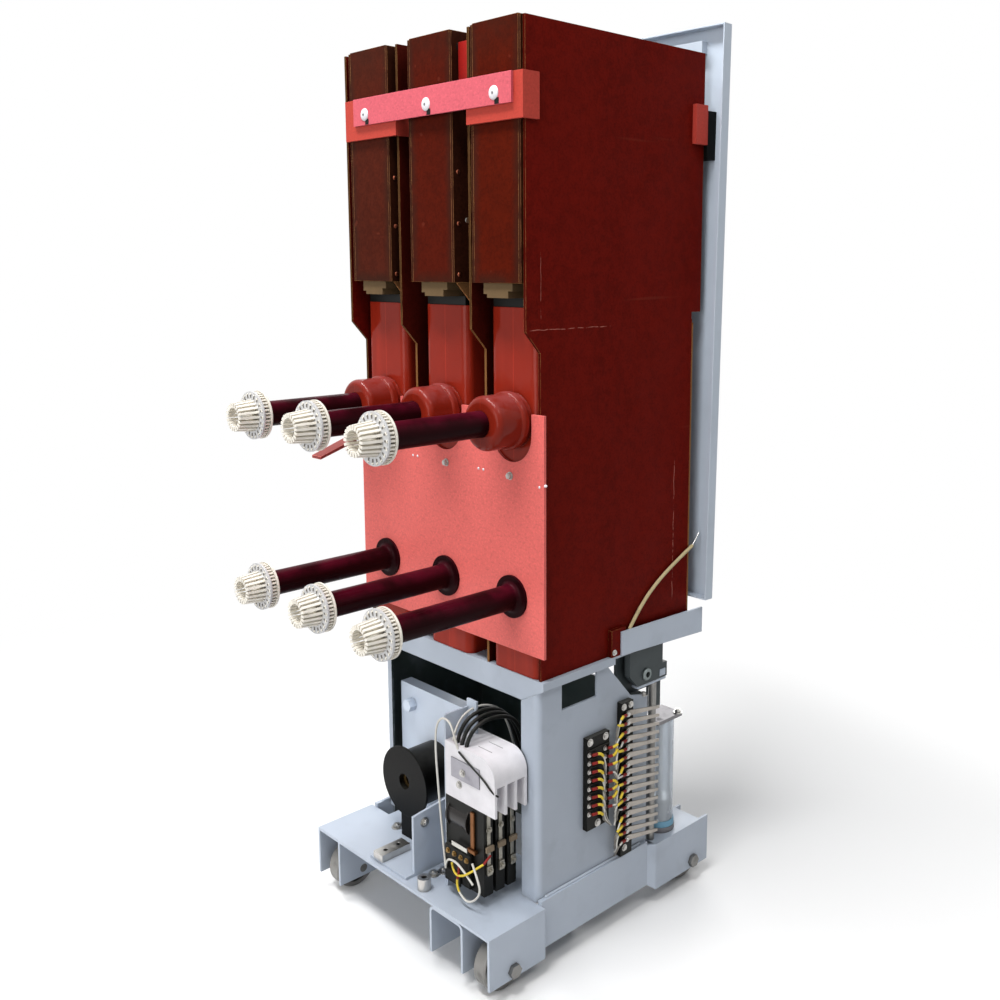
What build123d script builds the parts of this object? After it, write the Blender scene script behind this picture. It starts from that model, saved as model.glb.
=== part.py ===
from build123d import *
import math
import os

# Draw-out power circuit breaker on a four-wheel truck, in millimetres, +Z up.
# X runs across the three poles, -Y is the rear with the primary contacts, +Y the operator's front panel.
# Pieces are laid out from the rear edge of the barriers (y = 0, floor at z = 0) and moved at the end
# so that the origin lies on the floor under the middle of the whole breaker.

# Driving dimensions: general
overrun = 10
running_fit = 0.05
seat_gap = 0.2
pole_pitch = 205
pole_names = ("left", "center", "right")
pole_xs = (-pole_pitch, 0, pole_pitch)

# Driving dimensions: truck base
floor_clearance = 36
base_top = 145
base_thickness = 6
truck_width = 594
cheek_thickness = 6
wheel_pocket = 74
rear_base_rear = -118
rear_base_depth = 150
rear_tongue_width = 460
rear_tongue_depth = 100
front_base_gap = 13
front_base_depth = 187
front_base_setback = 28
joggle_length = 18
joggle_round = 12
channel_width = 104
channel_round = 14

# Driving dimensions: wheels
wheel_radius = 54
wheel_width = 34
wheel_chamfer = 3
wheel_web = 18
rim_depth = 12
hub_radius = 20
hub_width = 42
axle_radius = 9.5
axle_head_radius = 15
axle_head_height = 9
rear_axle_y = -55
front_axle_setback = 131

# Driving dimensions: truck body
side_width = 552
side_thickness = 5
side_flange = 48
side_bend = 14
side_bottom = 60
side_depth = 328
side_front_drop = 115
side_slope_start = 238
side_slope_drop = 21
side_slope_end = 310
side_slope_low_drop = 103
left_side_setback = 33
left_flange = 24
window_start = 99
window_length = 103
window_drop = 19
window_height = 54
rail_thickness = 10
rail_bottom = 50
rail_height = 104
front_plate_thickness = 5
deck_top = 616
deck_thickness = 5
deck_width = 580
deck_rear = 34
deck_depth = 493
deck_flange = 46
deck_corner = 62
deck_lip = 12
deck_lip_length = 210

# Driving dimensions: pole supports
column_face = 37
column_width = 136
column_depth = 290
column_height = 727
column_round = 18
boss_radius = 53
boss_reach = 85
boss_round = 13
boss_lip = 4
boss_lip_reach = 27
boss_lip_length = 20
boss_lip_round = 7
cap_thickness = 18
cap_width = 120
cap_inset = 4
throat_width = 69
throat_height = 28
throat_depth = 125
throat_shift = 7.5
throat_step_width = 10
throat_step_height = 7
throat_ear_width = 12
throat_ear_height = 15

# Driving dimensions: arc chutes
chute_width = 136
chute_xs = (-189, 14.5, 205)
chute_rear = -5
chute_depth = 474
chute_height = 473
chute_side_thickness = 6
chute_side_inset = 2

# Driving dimensions: barriers and sheets
barrier_width = 560
barrier_thickness = 6
barrier_depth = 519
barrier_height = 1244
barrier_setback = 37
step_low_height = 643
step_high_height = 684
inner_barrier_xs = (-97, 124.5)
notch_height = 692
notch_width = 15
front_cutback = 28
notch_depth = 30
front_sheet_thickness = 4
front_sheet_height = 684
sheet_thickness = 6
sheet_width = 590
sheet_bottom_height = 50
sheet_height = 477
sheet_slot_radius = 56
sheet_slot_drop = 26
sheet_hole_gap = 2
flap_height = 444
flap_reach = 133
flap_fall = 48

# Driving dimensions: retaining bar
bar_bottom_height = 1065
bar_block_height = 82
bar_block_thickness = 8
bar_left_start = -262
bar_left_length = 176
bar_right_start = 133
bar_wrap_length = 41
strip_start = -224
strip_length = 487
strip_height = 54
bar_return = 45
strip_thickness = 6

# Driving dimensions: primary tubes and contacts
tube_radius = 25.4
tube_rear = -273
tube_seat_depth = 30
upper_axis_height = 511
lower_axis_height = 159
collar_radius = 43
collar_rim = 5
collar_round = 10
finger_count = 20
finger_thickness = 5
contact_radius = 19
contact_length = 14
finger_inner_radius = 22
finger_tip_radius = 28
finger_root_radius = 32
finger_lug_radius = 43
crown_length = 40
ring_radius = 48
ring_thickness = 4
ring_spacing = 12
stud_radius = 20
stud_length = 24

# Driving dimensions: front panel
panel_overhang = 40
panel_height = 1233
panel_thickness = 3
panel_flange = 25
panel_rise = 69
panel_bottom_front = 532
panel_lean = 1.02
rib_width = 520
rib_height = 25
rib_depth = 18
rib_drop = 28
clip_bottom_height = 1057
clip_height = 81
clip_length = 39
clip_thickness = 10
divider_height = 158
divider_drop = 12
divider_width = 21
divider_thickness = 8
divider_setback = 26
bracket_height = 100
bracket_drop = 30
bracket_width = 30

# Driving dimensions: right side fittings
side_bar_start = 259
side_bar_length = 271
side_bar_height = 51
side_bar_fall = 14
side_bar_front_height = 58
side_bar_thickness = 5
corner_bracket_start = 232
corner_bracket_length = 43
corner_bracket_height = 58
crank_rear_reach = 84
crank_rear_drop = 61
crank_foot_reach = 58
crank_height = 89
crank_width = 16
crank_front_reach = 25
crank_nose_reach = 40
crank_nose_drop = 56
crank_hole_radius = 6
crank_hole_reach = 31
crank_hole_drop = 67
crank_plate_inset = 32
crank_plate_thickness = 8
crank_plate_reach = 98
crank_plate_clearance = 2
crank_post_start = 10
crank_post_end = 50
crank_post_drop = 171
shaft_radius = 9
shaft_setback = 10
shaft_inset = 6

# Driving dimensions: secondary contacts
terminal_start = 162
terminal_width = 67
terminal_bottom = 256
terminal_height = 203
terminal_depth = 12
strip_block_start = 266
strip_block_width = 36
strip_block_bottom = 158
strip_block_height = 348
strip_block_depth = 14
secondary_count = 16
secondary_pitch = 19
secondary_inset = 37
secondary_reach = 70
secondary_swing = 23
secondary_base_width = 12
secondary_tip_width = 6
secondary_thickness = 2.5
secondary_seat = 12

# Driving dimensions: dashpot
dashpot_inset = 39
dashpot_setback = 67
dashpot_radius = 32
dashpot_wall = 3
dashpot_ring_radius = 36
dashpot_ring_height = 12
dashpot_cylinder_height = 252
dashpot_plate_width = 60
dashpot_plate_length = 84
dashpot_plate_thickness = 8
tie_rod_radius = 4
tie_rod_reach = 40

# Driving dimensions: pieces inside the truck
mechanism_left = -252
mechanism_width = 237
mechanism_rear = 92
mechanism_height = 308
mechanism_thickness = 5
mechanism_lip = 30
pin_radius = 15
pin_length = 20
pin_x = -206
pin_height = 264
spool_x = -118
spool_axis_height = 280
spool_rear = -4
spool_flange_radius = 80
spool_flange_thickness = 5
spool_drum_radius = 64
spool_bore_radius = 18
spool_foot_width = 40
spool_foot_depth = 26
angle_x = 14
angle_thickness = 6
angle_rear = -84
angle_depth = 124
angle_height = 133
angle_rise = 15
angle_foot_width = 129
angle_foot_rear = -106
angle_foot_depth = 101
bar_plate_x = -93
bar_plate_width = 32
bar_plate_rear = -108
bar_plate_length = 75
bar_plate_height = 16
bar_plate_hole_radius = 5
bar_plate_hole_share = 0.27
bush_x = 70
bush_y = -97
bush_radius = 14
bush_bore_radius = 6
bush_height = 26
contactor_panel_x = 92
contactor_panel_thickness = 5
contactor_panel_rear = -56
contactor_panel_depth = 66
contactor_panel_height = 376
contactor_tab_height = 16
contactor_flange = 30
contactor_rear = -58
contactor_width = 86
contactor_body_bottom = 172
contactor_body_depth = 70
contactor_pole_depth = 48
contactor_pole_gap = 8
contactor_pole_count = 3
hood_bottom = 352
hood_height = 116
hood_depth = 152
hood_round = 42
hood_opening = 62
hood_fin_thickness = 6

# Driving dimensions: tether cable, a route chosen along the right barrier
tether_gap = 6
tether_radius = 3.8
tether_wire_radius = 1.4
tether_ys = (291, 326, 374, 432, 500)
tether_heights = (48, 90, 128, 160, 190)
tether_wire_y = 524
tether_wire_height = 216

# Worked-out heights and places
cheek_outer = truck_width / 2
cheek_inner = cheek_outer - cheek_thickness
pocket_inner = cheek_inner - wheel_pocket
wheel_x = cheek_inner - wheel_pocket / 2
rear_base_front = rear_base_rear + rear_base_depth
base_bottom = base_top - base_thickness
side_outer = side_width / 2
side_inner = side_outer - side_thickness
side_front = rear_base_front + side_depth
front_base_rear = side_front + front_plate_thickness + front_base_gap
front_base_front = front_base_rear + front_base_depth
front_axle_y = front_base_rear + front_axle_setback
joggle_rear = front_base_rear - joggle_length
shaft_y = front_base_rear + shaft_setback
dashpot_y = front_base_rear + dashpot_setback
deck_bottom = deck_top - deck_thickness
deck_edge = deck_width / 2
deck_flange_front = deck_rear + deck_thickness
deck_lip_bottom = deck_bottom - deck_lip
side_front_height = deck_bottom - side_front_drop
column_top = deck_top + column_height
cap_top = column_top + cap_thickness
chute_bottom = cap_top + throat_height
barrier_edge = barrier_width / 2
barrier_top = deck_top + barrier_height
lower_front = barrier_depth - front_cutback
sheet_rear = barrier_setback - sheet_thickness
tube_end = column_face + tube_seat_depth
ring_rear = tube_rear - ring_thickness
lug_rear = ring_rear - ring_spacing
front_ring_rear = lug_rear - ring_thickness
contact_tip = front_ring_rear - crown_length
bar_bottom = deck_top + bar_bottom_height
bar_face = chute_rear - bar_block_thickness
panel_width = barrier_width + panel_overhang * 2
panel_bottom = deck_top + panel_rise
center_y = (contact_tip + front_base_front) / 2


# Basic shapes
def block(x, y, z):
    """A box from three (low, high) spans."""
    spans = (x, y, z)
    sizes = [high - low for low, high in spans]
    centers = [(low + high) / 2 for low, high in spans]
    return Pos(*centers) * Box(*sizes)


def rod_x(x, y, z, radius):
    """A round bar along X over the span x."""
    return Pos((x[0] + x[1]) / 2, y, z) * Rot(0, 90, 0) * Cylinder(radius, x[1] - x[0])


def rod_y(x, y, z, radius):
    """A round bar along Y over the span y."""
    return Pos(x, (y[0] + y[1]) / 2, z) * Rot(90, 0, 0) * Cylinder(radius, y[1] - y[0])


def rod_z(x, y, z, radius):
    """A round bar along Z over the span z."""
    return Pos(x, y, (z[0] + z[1]) / 2) * Cylinder(radius, z[1] - z[0])


def plate_x(outline, x):
    """A flat plate with an outline of (y, z) points over the span x."""
    face = make_face(Polyline(*outline, close=True))
    return extrude(Plane.YZ.offset(x[0]) * face, amount=x[1] - x[0])


def plate_y(outline, y):
    """A flat plate with an outline of (x, z) points over the span y."""
    face = make_face(Polyline(*outline, close=True))
    return extrude(Plane.XZ.offset(-y[1]) * face, amount=y[1] - y[0])


def plate_z(outline, z):
    """A flat plate with an outline of (x, y) points over the span z."""
    face = make_face(Polyline(*outline, close=True))
    return extrude(Plane.XY.offset(z[0]) * face, amount=z[1] - z[0])


def turned(outline):
    """A solid turned about the Y axis from (radius, y) points."""
    return revolve(make_face(Polyline(*outline, close=True)), axis=Axis.Y)


def span(side, near, far):
    """The X span between two distances from the middle, on one side."""
    return tuple(sorted((side * near, side * far)))


# Truck base
def rear_base_plate():
    wide = block((-cheek_inner, cheek_inner), (rear_base_rear, rear_base_front), (base_bottom, base_top))
    half = rear_tongue_width / 2
    tongue_front = rear_base_front + rear_tongue_depth
    tongue = block((-half, half), (rear_base_front - base_thickness, tongue_front), (base_bottom, base_top))
    return wide + tongue


def front_base_plate():
    y = (front_base_rear, front_base_front - front_base_setback)
    return block((-cheek_inner, cheek_inner), y, (base_bottom, base_top))


def cheek(x, y, top, axle_y):
    """One wheel cheek with its axle hole."""
    plate = block(x, y, (floor_clearance, top))
    hole = rod_x((x[0] - overrun, x[1] + overrun), axle_y, wheel_radius, axle_radius + running_fit)
    return plate - hole


def joggled_cheek(side):
    """Front outer cheek, which bends in at its rear end to meet the rail."""
    outline = [
        (side * side_outer, joggle_rear),
        (side * (side_outer + rail_thickness), joggle_rear),
        (side * cheek_outer, front_base_rear),
        (side * cheek_outer, front_base_front),
        (side * cheek_inner, front_base_front),
        (side * cheek_inner, front_base_rear),
    ]
    plate = plate_z(outline, (floor_clearance, base_top))
    upright = plate.edges().filter_by(Axis.Z)
    corner = (side * cheek_outer, front_base_rear, (floor_clearance + base_top) / 2)
    bend = upright.sort_by_distance(corner)[0]
    plate = fillet(bend, joggle_round)
    rise = [
        (joggle_rear, floor_clearance),
        (joggle_rear, rail_bottom),
        (front_base_rear, floor_clearance),
    ]
    x = span(side, side_outer - overrun, cheek_outer + overrun)
    hole_x = span(side, cheek_inner - overrun, cheek_outer + overrun)
    hole = rod_x(hole_x, front_axle_y, wheel_radius, axle_radius + running_fit)
    return plate - plate_x(rise, x) - hole


def wheel_cheeks():
    rear = (rear_base_rear, rear_base_front)
    front = (front_base_rear, front_base_front)
    cheeks = []
    for side in (-1, 1):
        cheeks.append(cheek(span(side, cheek_inner, cheek_outer), rear, base_top, rear_axle_y))
        cheeks.append(joggled_cheek(side))
        inner = span(side, pocket_inner - cheek_thickness, pocket_inner)
        cheeks.append(cheek(inner, front, base_bottom, front_axle_y))
    left_inner = span(-1, pocket_inner - cheek_thickness, pocket_inner)
    cheeks.append(cheek(left_inner, rear, base_bottom, rear_axle_y))
    return Compound(cheeks)


def rear_channel():
    """Formed channel under the base plate, whose outer leg is the inner cheek of the right rear wheel."""
    x = (pocket_inner - channel_width, pocket_inner)
    y = (rear_base_rear, rear_base_front)
    outer = block(x, y, (floor_clearance, base_bottom))
    outer = fillet(outer.edges().filter_by(Axis.Y).group_by(Axis.Z)[-1], channel_round)
    inner_x = (x[0] + cheek_thickness, x[1] - cheek_thickness)
    inner_y = (y[0] - overrun, y[1] + overrun)
    inner = block(inner_x, inner_y, (floor_clearance - overrun, base_bottom - cheek_thickness))
    inner = fillet(inner.edges().filter_by(Axis.Y).group_by(Axis.Z)[-1], channel_round - cheek_thickness)
    hole_x = (pocket_inner - cheek_thickness - overrun, pocket_inner + overrun)
    return outer - inner - rod_x(hole_x, rear_axle_y, wheel_radius, axle_radius + running_fit)


def axle_bolts():
    """Four axle bolts, each through both cheeks of its wheel, with a hexagonal head outside."""
    bolts = []
    for side in (-1, 1):
        for axle_y in (rear_axle_y, front_axle_y):
            x = span(side, pocket_inner - cheek_thickness, cheek_outer)
            shank = rod_x(x, axle_y, wheel_radius, axle_radius)
            face = Plane.YZ.offset(side * cheek_outer) * RegularPolygon(axle_head_radius, 6)
            head = Pos(0, axle_y, wheel_radius) * extrude(face, amount=side * axle_head_height)
            bolts.append(shank + head)
    return Compound(bolts)


def wheel(side, axle_y):
    """Cast wheel with a chamfered rim, a thinner web and a hub, bored for its axle."""
    half = wheel_width / 2
    rim_radius = wheel_radius - rim_depth
    bore = axle_radius + running_fit
    right = [
        (hub_width / 2, bore),
        (hub_width / 2, hub_radius),
        (wheel_web / 2, hub_radius),
        (wheel_web / 2, rim_radius),
        (half, rim_radius),
        (half, wheel_radius - wheel_chamfer),
        (half - wheel_chamfer, wheel_radius),
    ]
    left = [(-x, radius) for x, radius in reversed(right)]
    solid = revolve(make_face(Polyline(*right, *left, close=True)), axis=Axis.X)
    return Pos(side * wheel_x, axle_y, wheel_radius) * solid


# Truck body
def corner_edge(solid, side):
    """The upright edge of a block at its rear outer corner."""
    return solid.edges().filter_by(Axis.Z).group_by(Axis.Y)[0].sort_by(Axis.X)[-1 if side > 0 else 0]


def deck_flange_outline(margin):
    """Outline (x, z) of the deck's rear flange, mitred at both ends, lowered by a margin."""
    inner = deck_edge - deck_corner
    bottom = deck_bottom - deck_flange - margin
    lip = deck_lip_bottom - margin
    return [
        (-inner, bottom),
        (inner, bottom),
        (deck_edge, lip),
        (deck_edge, deck_bottom),
        (-deck_edge, deck_bottom),
        (-deck_edge, lip),
    ]


def side_plate(side, rear, flange):
    """Side plate bent inwards at the rear, under the deck's mitred flange."""
    start = rear + side_bend
    outline = [
        (start, side_bottom),
        (start, deck_bottom),
        (side_slope_start, deck_bottom),
        (side_slope_start, deck_bottom - side_slope_drop),
        (side_slope_end, deck_bottom - side_slope_low_drop),
        (side_front, side_front_height),
        (side_front, side_bottom),
    ]
    plate = plate_x(outline, span(side, side_inner, side_outer))
    z = (base_top, deck_lip_bottom - seat_gap)
    bend = block(span(side, side_outer - flange, side_outer), (rear, rear + flange), z)
    bend = fillet(corner_edge(bend, side), side_bend)
    hollow_x = span(side, side_outer - flange - overrun, side_inner)
    hollow_y = (rear + side_thickness, rear + flange + overrun)
    hollow = block(hollow_x, hollow_y, (z[0] - overrun, z[1] + overrun))
    hollow = fillet(corner_edge(hollow, side), side_bend - side_thickness)
    room_y = (deck_rear - overrun, deck_flange_front + seat_gap)
    return plate + (bend - hollow - plate_y(deck_flange_outline(seat_gap), room_y))


def side_plate_right():
    window_y = (window_start, window_start + window_length)
    window_top = deck_bottom - window_drop
    window_x = (side_inner - overrun, side_outer + overrun)
    window = block(window_x, window_y, (window_top - window_height, window_top))
    return side_plate(1, rear_base_front, side_flange) - window


def side_rails():
    rails = []
    for side in (-1, 1):
        x = span(side, side_outer, side_outer + rail_thickness)
        rails.append(block(x, (rear_base_front, joggle_rear), (rail_bottom, rail_bottom + rail_height)))
    return Compound(rails)


def front_plate():
    y = (side_front, side_front + front_plate_thickness)
    return block((-side_outer, side_outer), y, (side_bottom, side_front_height))


def deck():
    """Deck plate with its rear edge turned down and short lips along the sides."""
    plate = block((-deck_edge, deck_edge), (deck_rear, deck_rear + deck_depth), (deck_bottom, deck_top))
    plate += plate_y(deck_flange_outline(0), (deck_rear, deck_flange_front))
    for side in (-1, 1):
        lip_x = span(side, deck_edge - deck_thickness, deck_edge)
        plate += block(lip_x, (deck_rear, deck_rear + deck_lip_length), (deck_lip_bottom, deck_bottom))
    return plate


# Pole supports
def pole_support(x):
    """Moulded support column with a lipped boss round the upper tube and a socket for the lower one."""
    half = column_width / 2
    y = (column_face, column_face + column_depth)
    column = block((x - half, x + half), y, (deck_top, column_top))
    column = fillet(column.edges().filter_by(Axis.Z).group_by(Axis.Y)[0], column_round)
    upper = deck_top + upper_axis_height
    boss_rear = column_face - boss_reach
    boss = rod_y(x, (boss_rear, column_face), upper, boss_radius)
    boss = fillet(boss.edges().group_by(Axis.Y)[0], boss_round)
    lip_rear = column_face - boss_lip_reach
    lip = rod_y(x, (lip_rear, lip_rear + boss_lip_length), upper, boss_radius + boss_lip)
    lip = fillet(lip.edges().filter_by(GeomType.CIRCLE), boss_lip_round)
    solid = column + boss + lip
    for height in (upper_axis_height, lower_axis_height):
        solid -= rod_y(x, (boss_rear - overrun, tube_end), deck_top + height, tube_radius + seat_gap)
    return solid


def support_caps():
    half = cap_width / 2
    y = (column_face + cap_inset, column_face + column_depth - cap_inset)
    return Compound([block((x - half, x + half), y, (column_top, cap_top)) for x in pole_xs])


def throat_blocks():
    """Stepped blocks between the caps and the chutes."""
    blocks = []
    y = (0, throat_depth)
    for x in chute_xs:
        left = x - throat_shift - throat_width / 2
        right = left + throat_width
        step_top = cap_top + throat_step_height
        body = block((left, right), y, (step_top, chute_bottom))
        body += block((left + throat_step_width, right), y, (cap_top, step_top))
        ear = block((right, right + throat_ear_width), y, (chute_bottom - throat_ear_height, chute_bottom))
        blocks.append(body + ear)
    return Compound(blocks)


# Arc chutes
def arc_chute(x):
    half = chute_width / 2 - chute_side_thickness
    y = (chute_rear, chute_rear + chute_depth)
    return block((x - half, x + half), y, (chute_bottom, chute_bottom + chute_height))


def chute_side_plates():
    plates = []
    y = (chute_rear, chute_rear + chute_depth)
    z = (chute_bottom, chute_bottom + chute_height - chute_side_inset)
    for x in chute_xs:
        for side in (-1, 1):
            near = chute_width / 2 - chute_side_thickness
            low, high = span(side, near, chute_width / 2)
            plates.append(block((x + low, x + high), y, z))
    return Compound(plates)


# Barriers and sheets
def barrier(x):
    """Laminate barrier, set back at the lower rear and cut back at the lower front below a notch."""
    notch_bottom = deck_top + notch_height
    outline = [
        (barrier_setback, deck_top),
        (barrier_setback, deck_top + step_low_height),
        (0, deck_top + step_high_height),
        (0, barrier_top),
        (barrier_depth, barrier_top),
        (barrier_depth, notch_bottom + notch_width),
        (barrier_depth - notch_depth, notch_bottom + notch_width),
        (barrier_depth - notch_depth, notch_bottom),
        (lower_front, notch_bottom),
        (lower_front, deck_top),
    ]
    half = barrier_thickness / 2
    return plate_x(outline, (x - half, x + half))


def front_sheet():
    y = (lower_front, lower_front + front_sheet_thickness)
    return block((-barrier_edge, barrier_edge), y, (deck_top, deck_top + front_sheet_height))


def lower_sheet():
    """Sheet on the supports, slotted round the bosses, pierced for the lower tubes, its left end bent out."""
    half = sheet_width / 2
    bottom = deck_top + sheet_bottom_height
    top = bottom + sheet_height
    y = (sheet_rear, barrier_setback)
    cut_y = (y[0] - overrun, y[1] + overrun)
    sheet = block((-half, half), y, (bottom, top))
    slot = deck_top + upper_axis_height - sheet_slot_drop
    for x in pole_xs:
        sheet -= rod_y(x, cut_y, slot, sheet_slot_radius)
        sheet -= block((x - sheet_slot_radius, x + sheet_slot_radius), cut_y, (slot, top + overrun))
        sheet -= rod_y(x, cut_y, deck_top + lower_axis_height, tube_radius + sheet_hole_gap)
    flap_right = pole_xs[0] - sheet_slot_radius
    bend = deck_top + flap_height
    sheet -= block((-half - overrun, flap_right), cut_y, (bend, top + overrun))
    tip_y = sheet_rear - flap_reach
    flap = [
        (barrier_setback, bend),
        (tip_y, bend - flap_fall),
        (tip_y, bend - flap_fall - sheet_thickness),
        (sheet_rear, bend - sheet_thickness * 2),
        (barrier_setback, bend - sheet_thickness * 2),
    ]
    return sheet + plate_x(flap, (-half, flap_right))


# Retaining bar
def bar_blocks():
    """Left block across the first chute with a return leg, and right angle that wraps the outer barrier."""
    z = (bar_bottom, bar_bottom + bar_block_height)
    y = (bar_face, chute_rear)
    left_end = bar_left_start + bar_left_length
    left = block((bar_left_start, left_end), y, z)
    left += block((left_end - bar_block_thickness, left_end), (bar_face, bar_face + bar_return), z)
    right = block((bar_right_start, barrier_edge + bar_block_thickness), y, z)
    wrap_x = (barrier_edge, barrier_edge + bar_block_thickness)
    right += block(wrap_x, (bar_face, bar_face + bar_wrap_length), z)
    return Compound([left, right])


def bar_strip():
    x = (strip_start, strip_start + strip_length)
    top = bar_bottom + bar_block_height
    return block(x, (bar_face - strip_thickness, bar_face), (top - strip_height, top))


# Primary tubes and contacts
def upper_tube(x):
    return rod_y(x, (tube_rear, tube_end), deck_top + upper_axis_height, tube_radius)


def lower_tube(x):
    """Tube with a thin collar, rounded into the tube, that lies on the sheet."""
    z = deck_top + lower_axis_height
    collar_rear = sheet_rear - collar_rim
    outer = rod_y(x, (tube_rear, collar_rear), z, tube_radius)
    outer += rod_y(x, (collar_rear, sheet_rear), z, collar_radius)
    circles = outer.edges().filter_by(GeomType.CIRCLE).group_by(Axis.Y)[1]
    outer = fillet(circles.sort_by(SortBy.RADIUS)[0], collar_round)
    return outer + rod_y(x, (sheet_rear, tube_end), z, tube_radius)


def contact_cluster(x, z):
    """Tulip contact: a crown of sprung fingers held between two rings on a stud."""
    crown_outline = [
        (contact_radius, contact_tip),
        (finger_tip_radius, contact_tip),
        (finger_root_radius, front_ring_rear),
        (finger_root_radius, lug_rear),
        (finger_lug_radius, lug_rear),
        (finger_lug_radius, ring_rear),
        (finger_inner_radius, ring_rear),
        (finger_inner_radius, contact_tip + contact_length),
        (contact_radius, contact_tip + contact_length),
    ]
    blade_y = (contact_tip - overrun, ring_rear + overrun)
    half = finger_thickness / 2
    blade = block((0, ring_radius + overrun), blade_y, (-half, half))
    blades = [Rot(0, 360 * index / finger_count, 0) * blade for index in range(finger_count)]
    envelope = turned(crown_outline)
    fingers = [envelope & one for one in blades]
    rear_ring = rod_y(0, (ring_rear, tube_rear), 0, ring_radius)
    front_outline = [
        (finger_inner_radius, front_ring_rear),
        (ring_radius, front_ring_rear),
        (ring_radius, lug_rear),
        (finger_inner_radius, lug_rear),
    ]
    stud = rod_y(0, (ring_rear - stud_length, ring_rear), 0, stud_radius)
    cluster = rear_ring.fuse(turned(front_outline), stud, *fingers)
    return Pos(x, 0, z) * cluster


# Front panel
def panel_place():
    """The panel's own frame: its lower front edge, leaning out towards the top."""
    return Pos(0, panel_bottom_front, panel_bottom) * Rot(-panel_lean, 0, 0)


def front_panel():
    """Sheet-steel pan with all four edges turned to the rear and a stiffening rib near its top."""
    half = panel_width / 2
    pan = block((-half, half), (-panel_flange, 0), (0, panel_height))
    inside_x = (panel_thickness - half, half - panel_thickness)
    inside_y = (-panel_flange - overrun, -panel_thickness)
    pan -= block(inside_x, inside_y, (panel_thickness, panel_height - panel_thickness))
    rib_half = rib_width / 2
    rib_top = panel_height - rib_drop
    rib_y = (-panel_thickness - rib_depth, -panel_thickness)
    return panel_place() * (pan + block((-rib_half, rib_half), rib_y, (rib_top - rib_height, rib_top)))


def panel_body():
    """The space from the panel's inner face forward, for trimming what seats on it."""
    half = panel_width / 2
    return panel_place() * block((-half, half), (-panel_thickness, panel_width), (0, panel_height))


def clip_blocks():
    """Clips on the front edges of the outer barriers, and a divider beside the middle chute."""
    z = (deck_top + clip_bottom_height, deck_top + clip_bottom_height + clip_height)
    clips = []
    for side in (-1, 1):
        x = span(side, barrier_edge, barrier_edge + clip_thickness)
        clips.append(block(x, (barrier_depth - clip_length, barrier_depth), z))
    divider_right = inner_barrier_xs[1] - barrier_thickness / 2
    divider_top = barrier_top - divider_drop
    clips.append(block(
        (divider_right - divider_width, divider_right),
        (divider_setback, divider_setback + divider_thickness),
        (divider_top - divider_height, divider_top),
    ))
    return Compound(clips)


def panel_brackets():
    """Brackets from the clips and barrier edges to the panel's inner face."""
    low = deck_top + clip_bottom_height - bracket_drop
    brackets = []
    for side in (-1, 1):
        near = barrier_edge + clip_thickness - bracket_width
        x = span(side, near, barrier_edge + clip_thickness)
        reach = block(x, (barrier_depth, barrier_depth + panel_flange * 2), (low, low + bracket_height))
        brackets.append(reach - panel_body())
    return Compound(brackets)


# Right side fittings
def side_bar():
    """Flat bar along the deck's right edge, falling a little towards the front."""
    front = side_bar_start + side_bar_length
    low = deck_top - side_bar_fall
    outline = [
        (side_bar_start, deck_top),
        (side_bar_start, deck_top + side_bar_height),
        (front, low + side_bar_front_height),
        (front, low),
    ]
    return plate_x(outline, (deck_edge, deck_edge + side_bar_thickness))


def corner_bracket():
    y = (corner_bracket_start, corner_bracket_start + corner_bracket_length)
    return block((barrier_edge, deck_edge), y, (deck_top, deck_top + corner_bracket_height))


def crank_bracket():
    """Black lever under the deck that carries the head of the vertical shaft, and the plate behind it."""
    bottom = deck_bottom - crank_height
    outline = [
        (shaft_y - crank_rear_reach, deck_bottom),
        (shaft_y - crank_rear_reach, deck_bottom - crank_rear_drop),
        (shaft_y - crank_foot_reach, bottom),
        (shaft_y + crank_nose_reach, bottom),
        (shaft_y + crank_nose_reach, deck_bottom - crank_nose_drop),
        (shaft_y + crank_front_reach, deck_bottom - crank_nose_drop),
        (shaft_y + crank_front_reach, deck_bottom),
    ]
    half = crank_width / 2
    x = side_outer - shaft_inset
    hole_x = (x - half - overrun, x + half + overrun)
    hole = rod_x(hole_x, shaft_y - crank_hole_reach, deck_bottom - crank_hole_drop, crank_hole_radius)
    lever = plate_x(outline, (x - half, x + half)) - hole
    plate_bottom = side_front_height + crank_plate_clearance
    post_bottom = deck_bottom - crank_post_drop
    plate_outline = [
        (shaft_y - crank_plate_reach, deck_bottom),
        (shaft_y - crank_plate_reach, plate_bottom),
        (shaft_y + crank_post_start, plate_bottom),
        (shaft_y + crank_post_start, post_bottom),
        (shaft_y + crank_post_end, post_bottom),
        (shaft_y + crank_post_end, deck_bottom),
    ]
    plate_x_start = side_outer - crank_plate_inset
    plate = plate_x(plate_outline, (plate_x_start, plate_x_start + crank_plate_thickness))
    return Compound([lever, plate])


def shaft():
    x = side_outer - shaft_inset
    return rod_z(x, shaft_y, (base_top, deck_bottom - crank_height), shaft_radius)


# Secondary contacts
def terminal_block():
    y = (terminal_start, terminal_start + terminal_width)
    z = (terminal_bottom, terminal_bottom + terminal_height)
    return block((side_outer, side_outer + terminal_depth), y, z)


def secondary_strip():
    y = (strip_block_start, strip_block_start + strip_block_width)
    z = (strip_block_bottom, strip_block_bottom + strip_block_height)
    return block((side_outer, side_outer + strip_block_depth), y, z)


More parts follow.
